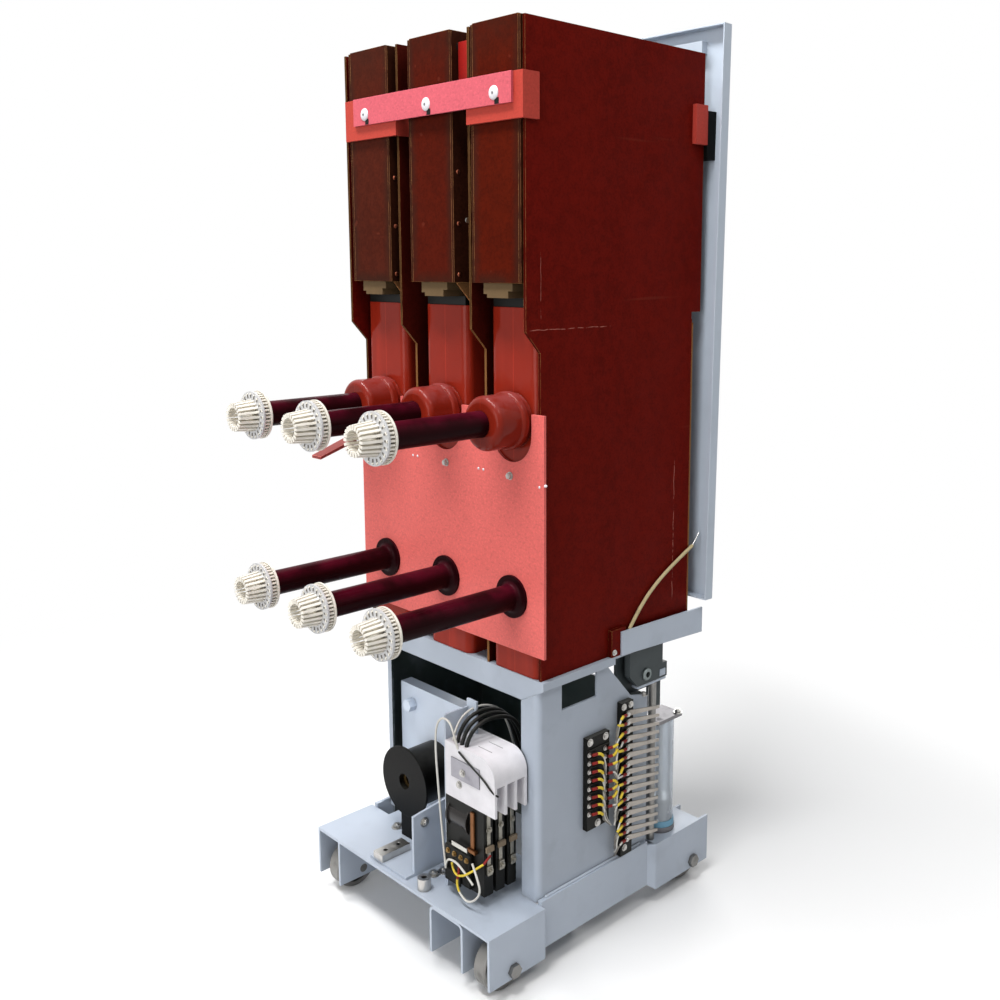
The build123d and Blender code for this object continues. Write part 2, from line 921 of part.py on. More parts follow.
def secondary_fingers():
    """Flat tapered fingers that seat on the strip and swing outwards."""
    face_x = side_outer + strip_block_depth
    start = strip_block_start + strip_block_width - secondary_seat
    length = math.hypot(secondary_reach, secondary_swing)
    angle = math.degrees(math.atan2(secondary_swing, secondary_reach))
    outline = [
        (0, -secondary_base_width / 2),
        (0, secondary_base_width / 2),
        (length, secondary_tip_width / 2),
        (length, -secondary_tip_width / 2),
    ]
    leaf = Rot(0, 0, -angle) * plate_x(outline, (0, secondary_thickness))
    foot = block(
        (0, secondary_thickness),
        (-secondary_seat, secondary_seat / 2),
        (-secondary_base_width / 2, secondary_base_width / 2),
    )
    finger = leaf + foot
    first = strip_block_bottom + secondary_inset
    heights = [first + index * secondary_pitch for index in range(secondary_count)]
    return Compound([Pos(face_x, start, z) * finger for z in heights])


# Dashpot
def dashpot_frame():
    """Base ring, top plate and two tie rods."""
    x = side_outer + rail_thickness - dashpot_inset
    ring_top = base_top + dashpot_ring_height
    plate_bottom = ring_top + dashpot_cylinder_height
    half = dashpot_plate_width / 2
    reach = dashpot_plate_length / 2
    plate_z = (plate_bottom, plate_bottom + dashpot_plate_thickness)
    frame = rod_z(x, dashpot_y, (base_top, ring_top), dashpot_ring_radius)
    plate = block((x - half, x + half), (dashpot_y - reach, dashpot_y + reach), plate_z)
    frame = [frame, plate]
    for side in (-1, 1):
        rod = rod_z(x, dashpot_y + side * tie_rod_reach, (base_top, plate_bottom), tie_rod_radius)
        frame.append(rod)
    return Compound([frame[0], frame[1].fuse(*frame[2:])])


def dashpot_cylinder():
    x = side_outer + rail_thickness - dashpot_inset
    z = (base_top + dashpot_ring_height, base_top + dashpot_ring_height + dashpot_cylinder_height)
    bore_z = (z[0] + dashpot_wall, z[1] + overrun)
    bore = rod_z(x, dashpot_y, bore_z, dashpot_radius - dashpot_wall)
    return rod_z(x, dashpot_y, z, dashpot_radius) - bore


# Pieces inside the truck
def mechanism_plate():
    """Plate with a lip along its top and a hexagonal bolt head."""
    x = (mechanism_left, mechanism_left + mechanism_width)
    top = base_top + mechanism_height
    y = (mechanism_rear, mechanism_rear + mechanism_thickness)
    plate = block(x, y, (base_top, top))
    lip = block(x, (mechanism_rear, mechanism_rear + mechanism_lip), (top - mechanism_thickness, top))
    hexagon = Plane.XZ.offset(-mechanism_rear) * RegularPolygon(pin_radius, 6)
    pin = Pos(pin_x, 0, base_top + pin_height) * extrude(hexagon, amount=pin_length)
    return plate + lip + pin


def spool():
    """Flanged drum, bored through, that seats on the mechanism plate and stands on a foot."""
    neck = spool_rear + spool_flange_thickness
    outline = [
        (spool_bore_radius, spool_rear),
        (spool_flange_radius, spool_rear),
        (spool_flange_radius, neck),
        (spool_drum_radius, neck),
        (spool_drum_radius, mechanism_rear),
        (spool_bore_radius, mechanism_rear),
    ]
    half = spool_foot_width / 2
    foot_top = spool_axis_height - (spool_bore_radius + spool_drum_radius) / 2
    foot = block((spool_x - half, spool_x + half), (neck, neck + spool_foot_depth), (base_top, foot_top))
    return foot + Pos(spool_x, 0, spool_axis_height) * turned(outline)


def angle_bracket():
    """Angle with a broad foot on the base plate and a leg that rises a little towards the front."""
    front = angle_rear + angle_depth
    top = base_top + angle_height
    outline = [(angle_rear, base_top), (angle_rear, top), (front, top + angle_rise), (front, base_top)]
    leg = plate_x(outline, (angle_x, angle_x + angle_thickness))
    foot_x = (angle_x + angle_thickness - angle_foot_width, angle_x + angle_thickness)
    foot_y = (angle_foot_rear, angle_foot_rear + angle_foot_depth)
    return leg + block(foot_x, foot_y, (base_top, base_top + angle_thickness))


def base_fittings():
    """Two-hole bar on the angle's foot, and a plain bush on the base plate."""
    bottom = base_top + angle_thickness
    top = bottom + bar_plate_height
    bar = block(
        (bar_plate_x, bar_plate_x + bar_plate_width),
        (bar_plate_rear, bar_plate_rear + bar_plate_length),
        (bottom, top),
    )
    for share in (bar_plate_hole_share, 1 - bar_plate_hole_share):
        hole_y = bar_plate_rear + share * bar_plate_length
        hole_x = bar_plate_x + bar_plate_width / 2
        bar -= rod_z(hole_x, hole_y, (bottom - overrun, top + overrun), bar_plate_hole_radius)
    bush = rod_z(bush_x, bush_y, (base_top, base_top + bush_height), bush_radius)
    bush -= rod_z(bush_x, bush_y, (base_top - overrun, base_top + bush_height + overrun), bush_bore_radius)
    return Compound([bar, bush])


def contactor_panel():
    """Upright panel with a taller flange turned outwards at its front end."""
    x = (contactor_panel_x, contactor_panel_x + contactor_panel_thickness)
    front = contactor_panel_rear + contactor_panel_depth
    top = base_top + contactor_panel_height
    panel = block(x, (contactor_panel_rear, front), (base_top, top))
    flange_x = (contactor_panel_x, contactor_panel_x + contactor_flange)
    flange_z = (hood_bottom + hood_height + seat_gap, top + contactor_tab_height)
    return panel + block(flange_x, (front - contactor_panel_thickness, front), flange_z)


def contactor_body():
    """Moulded base with three pole pillars on its face."""
    x0 = contactor_panel_x + contactor_panel_thickness
    y = (contactor_rear, contactor_rear + contactor_width)
    z = (contactor_body_bottom, hood_bottom)
    body = block((x0, x0 + contactor_body_depth), y, z)
    pole_width = (contactor_width + contactor_pole_gap) / contactor_pole_count - contactor_pole_gap
    for index in range(contactor_pole_count):
        start = contactor_rear + index * (pole_width + contactor_pole_gap)
        pillar_x = (x0 + contactor_body_depth, x0 + contactor_body_depth + contactor_pole_depth)
        body += block(pillar_x, (start, start + pole_width), z)
    return body


def contactor_hood():
    """Arc hood with a rounded upper front edge and three openings between four fins at its lower front."""
    x0 = contactor_panel_x + contactor_panel_thickness
    front = x0 + hood_depth
    y = (contactor_rear, contactor_rear + contactor_width)
    hood = block((x0, front), y, (hood_bottom, hood_bottom + hood_height))
    hood = fillet(hood.edges().filter_by(Axis.Y).group_by(Axis.Z)[-1].group_by(Axis.X)[-1], hood_round)
    pitch = (contactor_width - hood_fin_thickness) / contactor_pole_count
    opening_x = (x0 + contactor_body_depth + contactor_pole_depth, front + overrun)
    opening_z = (hood_bottom - overrun, hood_bottom + hood_opening)
    for index in range(contactor_pole_count):
        start = contactor_rear + index * pitch + hood_fin_thickness
        hood -= block(opening_x, (start, start + pitch - hood_fin_thickness), opening_z)
    return hood


# Tether cable
def arc_radii(points):
    """Arc radii at the inner points: as large as the two runs beside each point allow."""
    run_share = 0.45
    radii = []
    for before, here, after in zip(points, points[1:], points[2:]):
        arrive = here - before
        leave = after - here
        half_turn = math.radians(arrive.get_angle(leave)) / 2
        radii.append(run_share * min(arrive.length, leave.length) / math.tan(half_turn))
    return radii


def tether_cable():
    """Sleeved cable from the side bar up to a thin wire that hooks into the panel."""
    x = barrier_edge + tether_gap
    points = [Vector(x, y, deck_top + height) for y, height in zip(tether_ys, tether_heights)]
    radii = arc_radii(points)
    print("tether arc radii, mm:", [round(radius, 1) for radius in radii])
    path = FilletPolyline(*points, radius=radii)
    sleeve = sweep(Plane(origin=path @ 0, z_dir=path % 0) * Circle(tether_radius), path=path)
    wire_path = Line(points[-1], Vector(x, tether_wire_y, deck_top + tether_wire_height))
    wire_plane = Plane(origin=wire_path @ 0, z_dir=wire_path % 0)
    wire = sweep(wire_plane * Circle(tether_wire_radius), path=wire_path)
    return Compound([sleeve.fuse(wire)])


# All nodes
pieces = {
    "rear_base_plate": rear_base_plate(),
    "front_base_plate": front_base_plate(),
    "wheel_cheeks": wheel_cheeks(),
    "rear_channel": rear_channel(),
    "axle_bolts": axle_bolts(),
    "wheel_rear_left": wheel(-1, rear_axle_y),
    "wheel_rear_right": wheel(1, rear_axle_y),
    "wheel_front_left": wheel(-1, front_axle_y),
    "wheel_front_right": wheel(1, front_axle_y),
    "side_plate_left": side_plate(-1, rear_base_front + left_side_setback, left_flange),
    "side_plate_right": side_plate_right(),
    "side_rails": side_rails(),
    "front_plate": front_plate(),
    "deck": deck(),
    "support_caps": support_caps(),
    "throat_blocks": throat_blocks(),
    "chute_side_plates": chute_side_plates(),
    "barrier_outer_left": barrier(barrier_thickness / 2 - barrier_edge),
    "barrier_inner_left": barrier(inner_barrier_xs[0]),
    "barrier_inner_right": barrier(inner_barrier_xs[1]),
    "barrier_outer_right": barrier(barrier_edge - barrier_thickness / 2),
    "front_sheet": front_sheet(),
    "lower_sheet": lower_sheet(),
    "bar_blocks": bar_blocks(),
    "bar_strip": bar_strip(),
    "front_panel": front_panel(),
    "clip_blocks": clip_blocks(),
    "panel_brackets": panel_brackets(),
    "side_bar": side_bar(),
    "corner_bracket": corner_bracket(),
    "crank_bracket": crank_bracket(),
    "shaft": shaft(),
    "terminal_block": terminal_block(),
    "secondary_strip": secondary_strip(),
    "secondary_fingers": secondary_fingers(),
    "dashpot_frame": dashpot_frame(),
    "dashpot_cylinder": dashpot_cylinder(),
    "mechanism_plate": mechanism_plate(),
    "spool": spool(),
    "angle_bracket": angle_bracket(),
    "base_fittings": base_fittings(),
    "contactor_panel": contactor_panel(),
    "contactor_body": contactor_body(),
    "contactor_hood": contactor_hood(),
    "tether_cable": tether_cable(),
}
for pole, x, chute_x in zip(pole_names, pole_xs, chute_xs):
    pieces["pole_support_" + pole] = pole_support(x)
    pieces["arc_chute_" + pole] = arc_chute(chute_x)
upper_cluster = contact_cluster(0, deck_top + upper_axis_height)
lower_cluster = contact_cluster(0, deck_top + lower_axis_height)
for pole, x in zip(pole_names, pole_xs):
    pieces["upper_contact_" + pole] = Pos(x, 0, 0) * upper_cluster
    pieces["lower_contact_" + pole] = Pos(x, 0, 0) * lower_cluster
pieces["primary_tubes"] = Compound([tube(x) for x in pole_xs for tube in (upper_tube, lower_tube)])

os.makedirs("parts", exist_ok=True)
for name, piece in pieces.items():
    export_step(Pos(0, -center_y, 0) * piece, os.path.join("parts", name + ".step"))
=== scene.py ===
import math

import bmesh
import bpy
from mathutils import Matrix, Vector


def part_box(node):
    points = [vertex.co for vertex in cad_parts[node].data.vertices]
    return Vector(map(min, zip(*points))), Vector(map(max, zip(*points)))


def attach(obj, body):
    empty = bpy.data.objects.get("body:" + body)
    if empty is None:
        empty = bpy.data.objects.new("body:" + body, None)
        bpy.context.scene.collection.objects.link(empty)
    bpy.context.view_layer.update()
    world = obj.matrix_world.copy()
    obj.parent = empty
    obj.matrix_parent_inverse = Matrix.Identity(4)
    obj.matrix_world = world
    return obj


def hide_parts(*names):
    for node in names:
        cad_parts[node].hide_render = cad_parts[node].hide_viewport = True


bl_info = {
    "name": "Draw-out breaker dressing",
    "version": (1, 0, 0),
    "blender": (4, 5, 0),
    "location": "3D View > Sidebar > Breaker",
    "description": "Finishes, fasteners, wiring and studio for a draw-out power circuit breaker",
    "category": "Object",
}

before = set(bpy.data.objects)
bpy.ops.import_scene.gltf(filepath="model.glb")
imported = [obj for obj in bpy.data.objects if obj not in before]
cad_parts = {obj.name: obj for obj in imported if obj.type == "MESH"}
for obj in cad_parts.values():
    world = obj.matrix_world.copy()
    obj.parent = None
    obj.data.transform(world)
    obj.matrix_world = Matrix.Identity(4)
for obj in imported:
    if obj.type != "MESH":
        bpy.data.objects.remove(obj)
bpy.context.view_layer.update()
TRUCK = "truck"
POLES = ("left", "center", "right")
X, Y, Z = range(3)
LEFT, RIGHT, REAR, UP = (-1, 0, 0), (1, 0, 0), (0, -1, 0), (0, 0, 1)
MM = 0.001
ROUND = 24  # sides of a round screw head


def srgb(red, green, blue):
    """A linear colour from three 8-bit screen values."""
    shares = (value / 255 for value in (red, green, blue))
    return tuple(v / 12.92 if v <= 0.04045 else ((v + 0.055) / 1.055) ** 2.4 for v in shares)


def shade(tint, share):
    """A colour made darker or lighter by a share."""
    return tuple(min(1.0, channel * share) for channel in tint)


def offset(anchor, x, y, z):
    """A point some millimetres from an anchor."""
    return tuple(start + step * MM for start, step in zip(anchor, (x, y, z)))


def block(anchor, low, high):
    """The two corners of a block, each some millimetres from an anchor."""
    return offset(anchor, *low), offset(anchor, *high)


# Tints that wear and dirt leave, and tints of painted shade and sheen
# Dirt and painted shade in the creases of the paint
CREASE_GRIME_SHADE = srgb(74, 72, 66)
DUST = srgb(150, 148, 140)
PINK_DUST = srgb(178, 116, 120)
RUBBED_PAINT = srgb(210, 214, 220)
# Darker colour towards the rims of the chute faces
RIM_DARK = srgb(44, 26, 18)
HAIRLINE = srgb(130, 60, 46)
SCRATCH = srgb(178, 108, 96)
# Painted sheen on the upper side of the tubes
WINE_TOP_SHEEN = srgb(84, 12, 32)
SILVER_STAIN = srgb(176, 158, 122)
# Painted shade in the gaps between the contact fingers
FINGER_GAP_SHADE = srgb(150, 138, 114)
CLEAR, SCUFFED = srgb(232, 238, 244), srgb(214, 220, 227)
HANDLED = srgb(120, 92, 56)


# Settings
def colour(name, description, red, green, blue):
    return bpy.props.FloatVectorProperty(
        name=name, description=description, default=srgb(red, green, blue), subtype="COLOR",
        size=3, min=0, max=1)


def length(name, description, default):
    return bpy.props.FloatProperty(name=name, description=description, default=default, unit="LENGTH", min=0)


def power(name, description, default):
    return bpy.props.FloatProperty(name=name, description=description, default=default, unit="POWER", min=0)


class BreakerFinishes(bpy.types.PropertyGroup):
    barrier: colour("Barrier", "Faces of the large laminate barriers", 94, 16, 9)
    # The other barriers' faces take a darker copy of the barrier colour: painted shade between the chutes.
    inner_barrier: colour("Inner barrier", "Smoke-darkened faces of the other barriers", 70, 18, 11)
    chute: colour("Chute", "Faces of the arc chutes", 68, 16, 5)
    chute_side: colour("Chute side", "Side plates of the arc chutes", 50, 23, 14)
    cut_edge: colour("Cut edge", "Sawn edges of the laminate", 152, 106, 64)
    sheet: colour("Sheet", "Fibre-filled sheet behind the lower tubes", 222, 106, 100)
    strip: colour("Strip", "Retaining strip across the chutes", 202, 91, 102)
    blocks: colour("Blocks", "Blocks behind the strip and clips on the barriers", 178, 62, 50)
    moulding: colour("Moulding", "Glossy pole supports", 140, 37, 22)
    tube: colour("Tube", "Varnished primary tubes", 30, 5, 8)
    silver: colour("Silver", "Plated contact fingers", 236, 231, 220)
    ring: colour("Ring", "Rings that hold the fingers", 202, 202, 203)
    paint: colour("Paint", "Grey-blue paint of the truck", 187, 197, 211)
    # The truck's inner faces take this dark colour as painted shade.
    inner_paint: colour("Inner paint", "Dark primer inside the truck", 40, 50, 48)
    panel: colour("Panel", "Paint of the front panel", 192, 203, 216)
    hood: colour("Hood", "White hood of the contactor", 228, 226, 230)
    black: colour("Black", "Moulded blocks and the spool", 22, 22, 20)
    steel: colour("Steel", "Bare steel fasteners and wheels", 190, 188, 184)
    brass: colour("Brass", "Terminals and bushes", 150, 122, 76)
    throat: colour("Throat", "Fired blocks under the chutes", 98, 78, 52)
    sleeve: colour("Sleeve", "Woven sleeve of the tether", 214, 196, 150)
    wire_red: colour("Red wire", "Red sleeves at the terminals", 138, 34, 30)
    wire_yellow: colour("Yellow wire", "Yellow sleeves at the terminals", 226, 198, 66)
    wire_white: colour("White wire", "Pale control wires", 214, 212, 205)
    wire_grey: colour("Grey wire", "Dull control wires", 122, 118, 112)


class BreakerHardware(bpy.types.PropertyGroup):
    rivet_radius: length("Rivet radius", "Round heads on the chute sides", 0.0048)
    bolt_radius: length("Bolt radius", "Hexagonal heads on the base plates", 0.0085)
    screw_radius: length("Screw radius", "Nuts on the lower sheet", 0.0062)
    bar_screw_radius: length("Bar screw radius", "Large screws of the retaining strip", 0.013)
    weld_radius: length("Weld radius", "Size of the weld beads", 0.0035)


class BreakerWiring(bpy.types.PropertyGroup):
    lead_radius: length("Lead radius", "Black leads of the contactor", 0.0042)
    wire_radius: length("Wire radius", "Thin control wires", 0.0019)
    sleeve_radius: length("Sleeve radius", "Coloured sleeves at the terminals", 0.0033)
    tether_radius: length("Tether radius", "Woven tether on the right side", 0.0038)


class BreakerStage(bpy.types.PropertyGroup):
    camera_place: bpy.props.FloatVectorProperty(
        name="Camera place", description="Camera position", subtype="TRANSLATION",
        default=(1.7141, -1.4672, 1.4209))
    camera_turn: bpy.props.FloatVectorProperty(
        name="Camera turn", description="Camera rotation", subtype="EULER",
        default=(math.radians(81.29), 0.0, math.radians(45.423)))
    camera_lens: bpy.props.FloatProperty(
        name="Lens", description="Focal length on a 36 mm sensor", default=38.57, unit="CAMERA")
    camera_shift: bpy.props.FloatVectorProperty(
        name="Shift", description="Lens shift of the cropped photograph", default=(-0.05, -0.07), size=2)
    key_power: power("Key", "Large soft lamp behind the contacts", 150)
    top_power: power("Top", "Overhead lamp", 275)
    side_power: power("Side", "Weak lamp above the secondary contact side", 48)
    front_power: power("Front", "Soft lamp on the front panel and the left side", 140)
    ambient: bpy.props.FloatProperty(name="Ambient", description="Light from all round", default=0.18, min=0)
    floor: colour("Floor", "Pale studio floor", 252, 252, 252)
    bounce: colour("Bounce", "What the floor returns to the faces above it", 200, 200, 200)


def finishes():
    return bpy.context.scene.breaker_finishes


def hardware():
    return bpy.context.scene.breaker_hardware


def wiring():
    return bpy.context.scene.breaker_wiring


# Node trees
class Nodes:
    """A node tree under construction."""

    def __init__(self, tree):
        self.tree = tree

    def node(self, kind, **settings):
        made = self.tree.nodes.new(kind)
        for key, value in settings.items():
            setattr(made, key, value)
        return made

    def feed(self, socket, source):
        """Links a socket to a source, or sets it to a value."""
        if isinstance(source, bpy.types.NodeSocket):
            self.tree.links.new(source, socket)
        elif socket.type == "RGBA" and len(source) == 3:
            socket.default_value = (*source, 1)
        else:
            socket.default_value = source

    def fill(self, node, **inputs):
        """Feeds a node's inputs by name, with underscores for spaces."""
        for label, source in inputs.items():
            self.feed(node.inputs[label.replace("_", " ")], source)

    def math(self, operation, first, second=0.0):
        made = self.node("ShaderNodeMath", operation=operation)
        self.feed(made.inputs[0], first)
        self.feed(made.inputs[1], second)
        return made.outputs[0]

    def times(self, first, second):
        return self.math("MULTIPLY", first, second)

    def seen(self):
        """1 for what the camera sees, straight or in a mirror or glass, 0 for light on surfaces."""
        path = self.node("ShaderNodeLightPath")
        total = path.outputs["Is Camera Ray"]
        for label in ("Is Glossy Ray", "Is Transmission Ray"):
            total = self.math("MAXIMUM", total, path.outputs[label])
        return total


MADE = {}  # finished materials by the name of their finish


class Finish(Nodes):
    """A material under construction, with one principled shader."""

    first_colour, second_colour, mixed_colour = 6, 7, 2  # sockets of a colour mix

    def __init__(self, name, roughness=0.5, metallic=0.0, specular=0.5):
        self.material = MADE[name] = bpy.data.materials.new(name)
        self.material.use_nodes = True
        super().__init__(self.material.node_tree)
        self.tree.nodes.clear()
        self.output = self.node("ShaderNodeOutputMaterial")
        self.shader = self.node("ShaderNodeBsdfPrincipled")
        self.fill(self.output, Surface=self.shader.outputs["BSDF"])
        self.fill(self.shader, Roughness=roughness, Metallic=metallic, Specular_IOR_Level=specular)
        self.coordinates = self.node("ShaderNodeTexCoord")
        self.local = self.coordinates.outputs["Object"]

    def mix(self, share, first, second):
        made = self.node("ShaderNodeMix", data_type="RGBA")
        self.fill(made, Factor=share)
        self.feed(made.inputs[self.first_colour], first)
        self.feed(made.inputs[self.second_colour], second)
        return made.outputs[self.mixed_colour]

    def ramp(self, value, low, high, to_low=0.0, to_high=1.0):
        made = self.node("ShaderNodeMapRange", interpolation_type="SMOOTHSTEP")
        for socket, source in zip(made.inputs, (value, low, high, to_low, to_high)):
            self.feed(socket, source)
        return made.outputs[0]

    def noise(self, scale, detail=4, stretch=(1, 1, 1)):
        place = self.node("ShaderNodeMapping")
        self.fill(place, Vector=self.local, Scale=stretch)
        made = self.node("ShaderNodeTexNoise")
        self.fill(made, Vector=place.outputs["Vector"], Scale=scale, Detail=detail, Roughness=0.55)
        return made.outputs["Fac"]

    def patches(self, scale, detail, low, high, stretch=(1, 1, 1)):
        """Soft-edged patches of noise."""
        return self.ramp(self.noise(scale, detail, stretch), low, high)

    def mottle(self, tint, low, high, scale, detail=4, stretch=(1, 1, 1)):
        """A tint that wanders between two shares of itself."""
        return self.mix(self.noise(scale, detail, stretch), shade(tint, low), shade(tint, high))

    def over(self, base, tint, mask, amount=1.0):
        """A tint laid over the base where the mask says, up to an amount."""
        return self.mix(mask if amount == 1.0 else self.times(mask, amount), base, tint)

    def soiled(self, base, tint, shade_reach, low, high, amount):
        """The base darkened towards a tint in creases and gaps, by their occlusion: painted shade."""
        crease = self.node("ShaderNodeAmbientOcclusion", samples=6)
        self.fill(crease, Distance=shade_reach)
        return self.mix(self.ramp(crease.outputs["AO"], low, high, 0.0, amount), base, tint)

    def component(self, output, axis):
        made = self.node("ShaderNodeSeparateXYZ")
        self.feed(made.inputs[0], self.coordinates.outputs[output])
        return made.outputs[axis]

    def coordinate(self, axis):
        return self.component("Object", axis)

    def away(self, axis, place):
        """Distance from a place along an axis."""
        return self.math("ABSOLUTE", self.math("SUBTRACT", self.coordinate(axis), place))

    def facing(self, axis):
        """The outward direction's own component along an axis of the piece."""
        return self.component("Normal", axis)

    def rounded(self, radius):
        """The outward direction on edges rounded by a radius."""
        made = self.node("ShaderNodeBevel", samples=4)
        self.fill(made, Radius=radius)
        return made.outputs["Normal"]

    def worn_edge(self, radius):
        """1 on sharp edges, 0 on flat faces."""
        dot = self.node("ShaderNodeVectorMath", operation="DOT_PRODUCT")
        self.feed(dot.inputs[0], self.rounded(radius))
        self.feed(dot.inputs[1], self.node("ShaderNodeNewGeometry").outputs["Normal"])
        return self.ramp(dot.outputs["Value"], 0.995, 0.90)

    def rough(self, value, low, high, smooth, coarse):
        self.fill(self.shader, Roughness=self.ramp(value, low, high, smooth, coarse))

    def surface(self, base, height=None, depth=0.0, rounding=0.0):
        """Links the colour, and a relief on edges rounded by the given radius."""
        self.fill(self.shader, Base_Color=base)
        normal = self.rounded(rounding) if rounding else None
        if height:
            bump = self.node("ShaderNodeBump")
            self.fill(bump, Height=height, Distance=depth)
            if normal:
                self.fill(bump, Normal=normal)
            normal = bump.outputs["Normal"]
        if normal:
            self.fill(self.shader, Normal=normal)
        return self.material


# Finishes: scales of noise are per metre, reaches and radii in metres
def painted(name, paint, grime_and_shade=0.5, inner=None):
    """Machine paint with mottling, dirt and painted shade in the corners, rubbed edges and painted shade on
    an inner side.
    """
    finish = Finish(name)
    base = finish.mottle(paint, 0.90, 1.06, 5)
    if inner:
        axis, sign = inner
        # Faces towards the inner side take the dark inner colour: painted shade inside the truck.
        side = finish.ramp(finish.times(finish.facing(axis), sign), 0.5, 0.8)
        base = finish.over(base, finish.mottle(finishes().inner_paint, 0.6, 1.3, 9), side)
    base = finish.over(base, shade(paint, 0.5), finish.patches(14, 6, 0.52, 0.75), grime_and_shade * 0.35)
    # Darkening in the corners by their occlusion, in a dirt colour: dirt and painted shade.
    base = finish.soiled(base, CREASE_GRIME_SHADE, 0.03, 0.75, 0.25, grime_and_shade)
    rubbed = finish.times(finish.worn_edge(0.0016), finish.patches(60, 4, 0.45, 0.6))
    base = finish.over(base, RUBBED_PAINT, rubbed, 0.55)
    finish.rough(finish.noise(22), 0.3, 0.7, 0.34, 0.5)
    return finish.surface(base, finish.noise(260, 2), 0.00012, 0.0014)


def smoke_rim(finish, center, half, low, high):
    """Where a chute's face is darker: towards its sides, its top and its foot."""
    sides = finish.ramp(finish.math("DIVIDE", finish.away(X, center), half), 0.62, 1.0)
    top = finish.times(finish.ramp(finish.coordinate(Z), high - 0.09, high), 0.6)
    foot = finish.ramp(finish.coordinate(Z), low + 0.03, low)
    rim = finish.math("MAXIMUM", finish.math("MAXIMUM", sides, top), foot)
    return finish.times(rim, finish.ramp(finish.noise(24, 5), 0.25, 0.6, 0.4, 1.0))


def scratch_line(finish, along, across, start, end, place, width):
    """A broken, wandering line along one axis, at a place across another."""
    wander = finish.times(finish.noise(40, 3), width * 5)
    gap = finish.math("SUBTRACT", finish.coordinate(across), place - width * 2.5)
    line = finish.ramp(finish.math("ABSOLUTE", finish.math("SUBTRACT", gap, wander)), width, 0.0)
    run = finish.coordinate(along)
    ends = finish.times(finish.ramp(run, start, start + 0.02), finish.ramp(run, end, end - 0.02))
    return finish.times(finish.times(line, ends), finish.patches(70, 3, 0.42, 0.55))


def laminate(name, face, edge, axis, scratches=(), low_edge=None, darkening=None, shade_reach=0.04):
    """Varnished board: fibrous faces across one axis, sawn edges with fine plies, and painted shade in its
    creases and gaps.
    """
    finish = Finish(name, specular=0.025)
    fibre = finish.noise(16, 6, (1, 1, 0.12))
    base = finish.mix(fibre, shade(face, 0.72), shade(face, 1.26))
    base = finish.over(base, shade(face, 1.35), finish.patches(3.5, 3, 0.35, 0.7), 0.35)
    base = finish.over(base, shade(face, 1.6), finish.patches(55, 4, 0.38, 0.62), 0.40)
    base = finish.over(base, shade(face, 0.45), finish.patches(210, 4, 0.42, 0.66), 0.34)
    # Darker towards a chute face's sides, top and foot.
    if darkening:
        base = finish.over(base, RIM_DARK, smoke_rim(finish, *darkening), 0.7)
    base = finish.over(base, HAIRLINE, finish.patches(30, 2, 0.69, 0.74, (1, 0.05, 1)), 0.2)
    for scratch in scratches:
        base = finish.over(base, SCRATCH, scratch_line(finish, *scratch))
    across_plies = (1, 0.2, 0.2)
    plies = finish.mottle(edge, 0.6, 1.1, 420, 2, across_plies)
    if low_edge:
        pale = finish.mottle(low_edge, 0.75, 1.1, 420, 2, across_plies)
        plies = finish.over(plies, pale, finish.ramp(finish.coordinate(Z), 1.34, 1.24))
    base = finish.over(base, plies, finish.ramp(finish.math("ABSOLUTE", finish.facing(axis)), 0.8, 0.5))
    rubbed = finish.times(finish.worn_edge(0.0013), finish.patches(45, 4, 0.3, 0.55))
    base = finish.over(base, shade(finishes().cut_edge, 1.2), rubbed)
    # Painted shade in the creases and gaps, as a darker copy of the face.
    base = finish.soiled(base, shade(face, 0.25), shade_reach, 0.75, 0.15, 0.8)
    finish.rough(finish.noise(11, 5), 0.3, 0.7, 0.42, 0.52)
    return finish.surface(base, fibre, 0.00025, 0.0008)


def fibre_board(name, face, edge_share=1.12, bent=None):
    """Glass-filled polyester sheet: short pale and dark fibres, painted shade on a part bent off its plane
    and in its creases.
    """
    finish = Finish(name, specular=0.2)
    base = finish.mottle(face, 0.88, 1.04, 7)
    base = finish.over(base, shade(face, 1.35), finish.patches(210, 4, 0.45, 0.68), 0.32)
    base = finish.over(base, shade(face, 0.55), finish.patches(240, 3, 0.5, 0.72, (0.6, 1, 1)), 0.32)
    # The part bent out behind the plane is darker: painted shade on the flap.
    if bent is not None:
        base = finish.over(base, shade(face, 0.2), finish.ramp(finish.coordinate(Y), bent, bent - 0.01), 0.85)
    base = finish.over(base, shade(face, edge_share), finish.worn_edge(0.0014))
    base = finish.soiled(base, shade(face, 0.3), 0.05, 0.8, 0.2, 0.45)
    return finish.surface(base, finish.noise(240, 3), 0.0001, 0.0008)


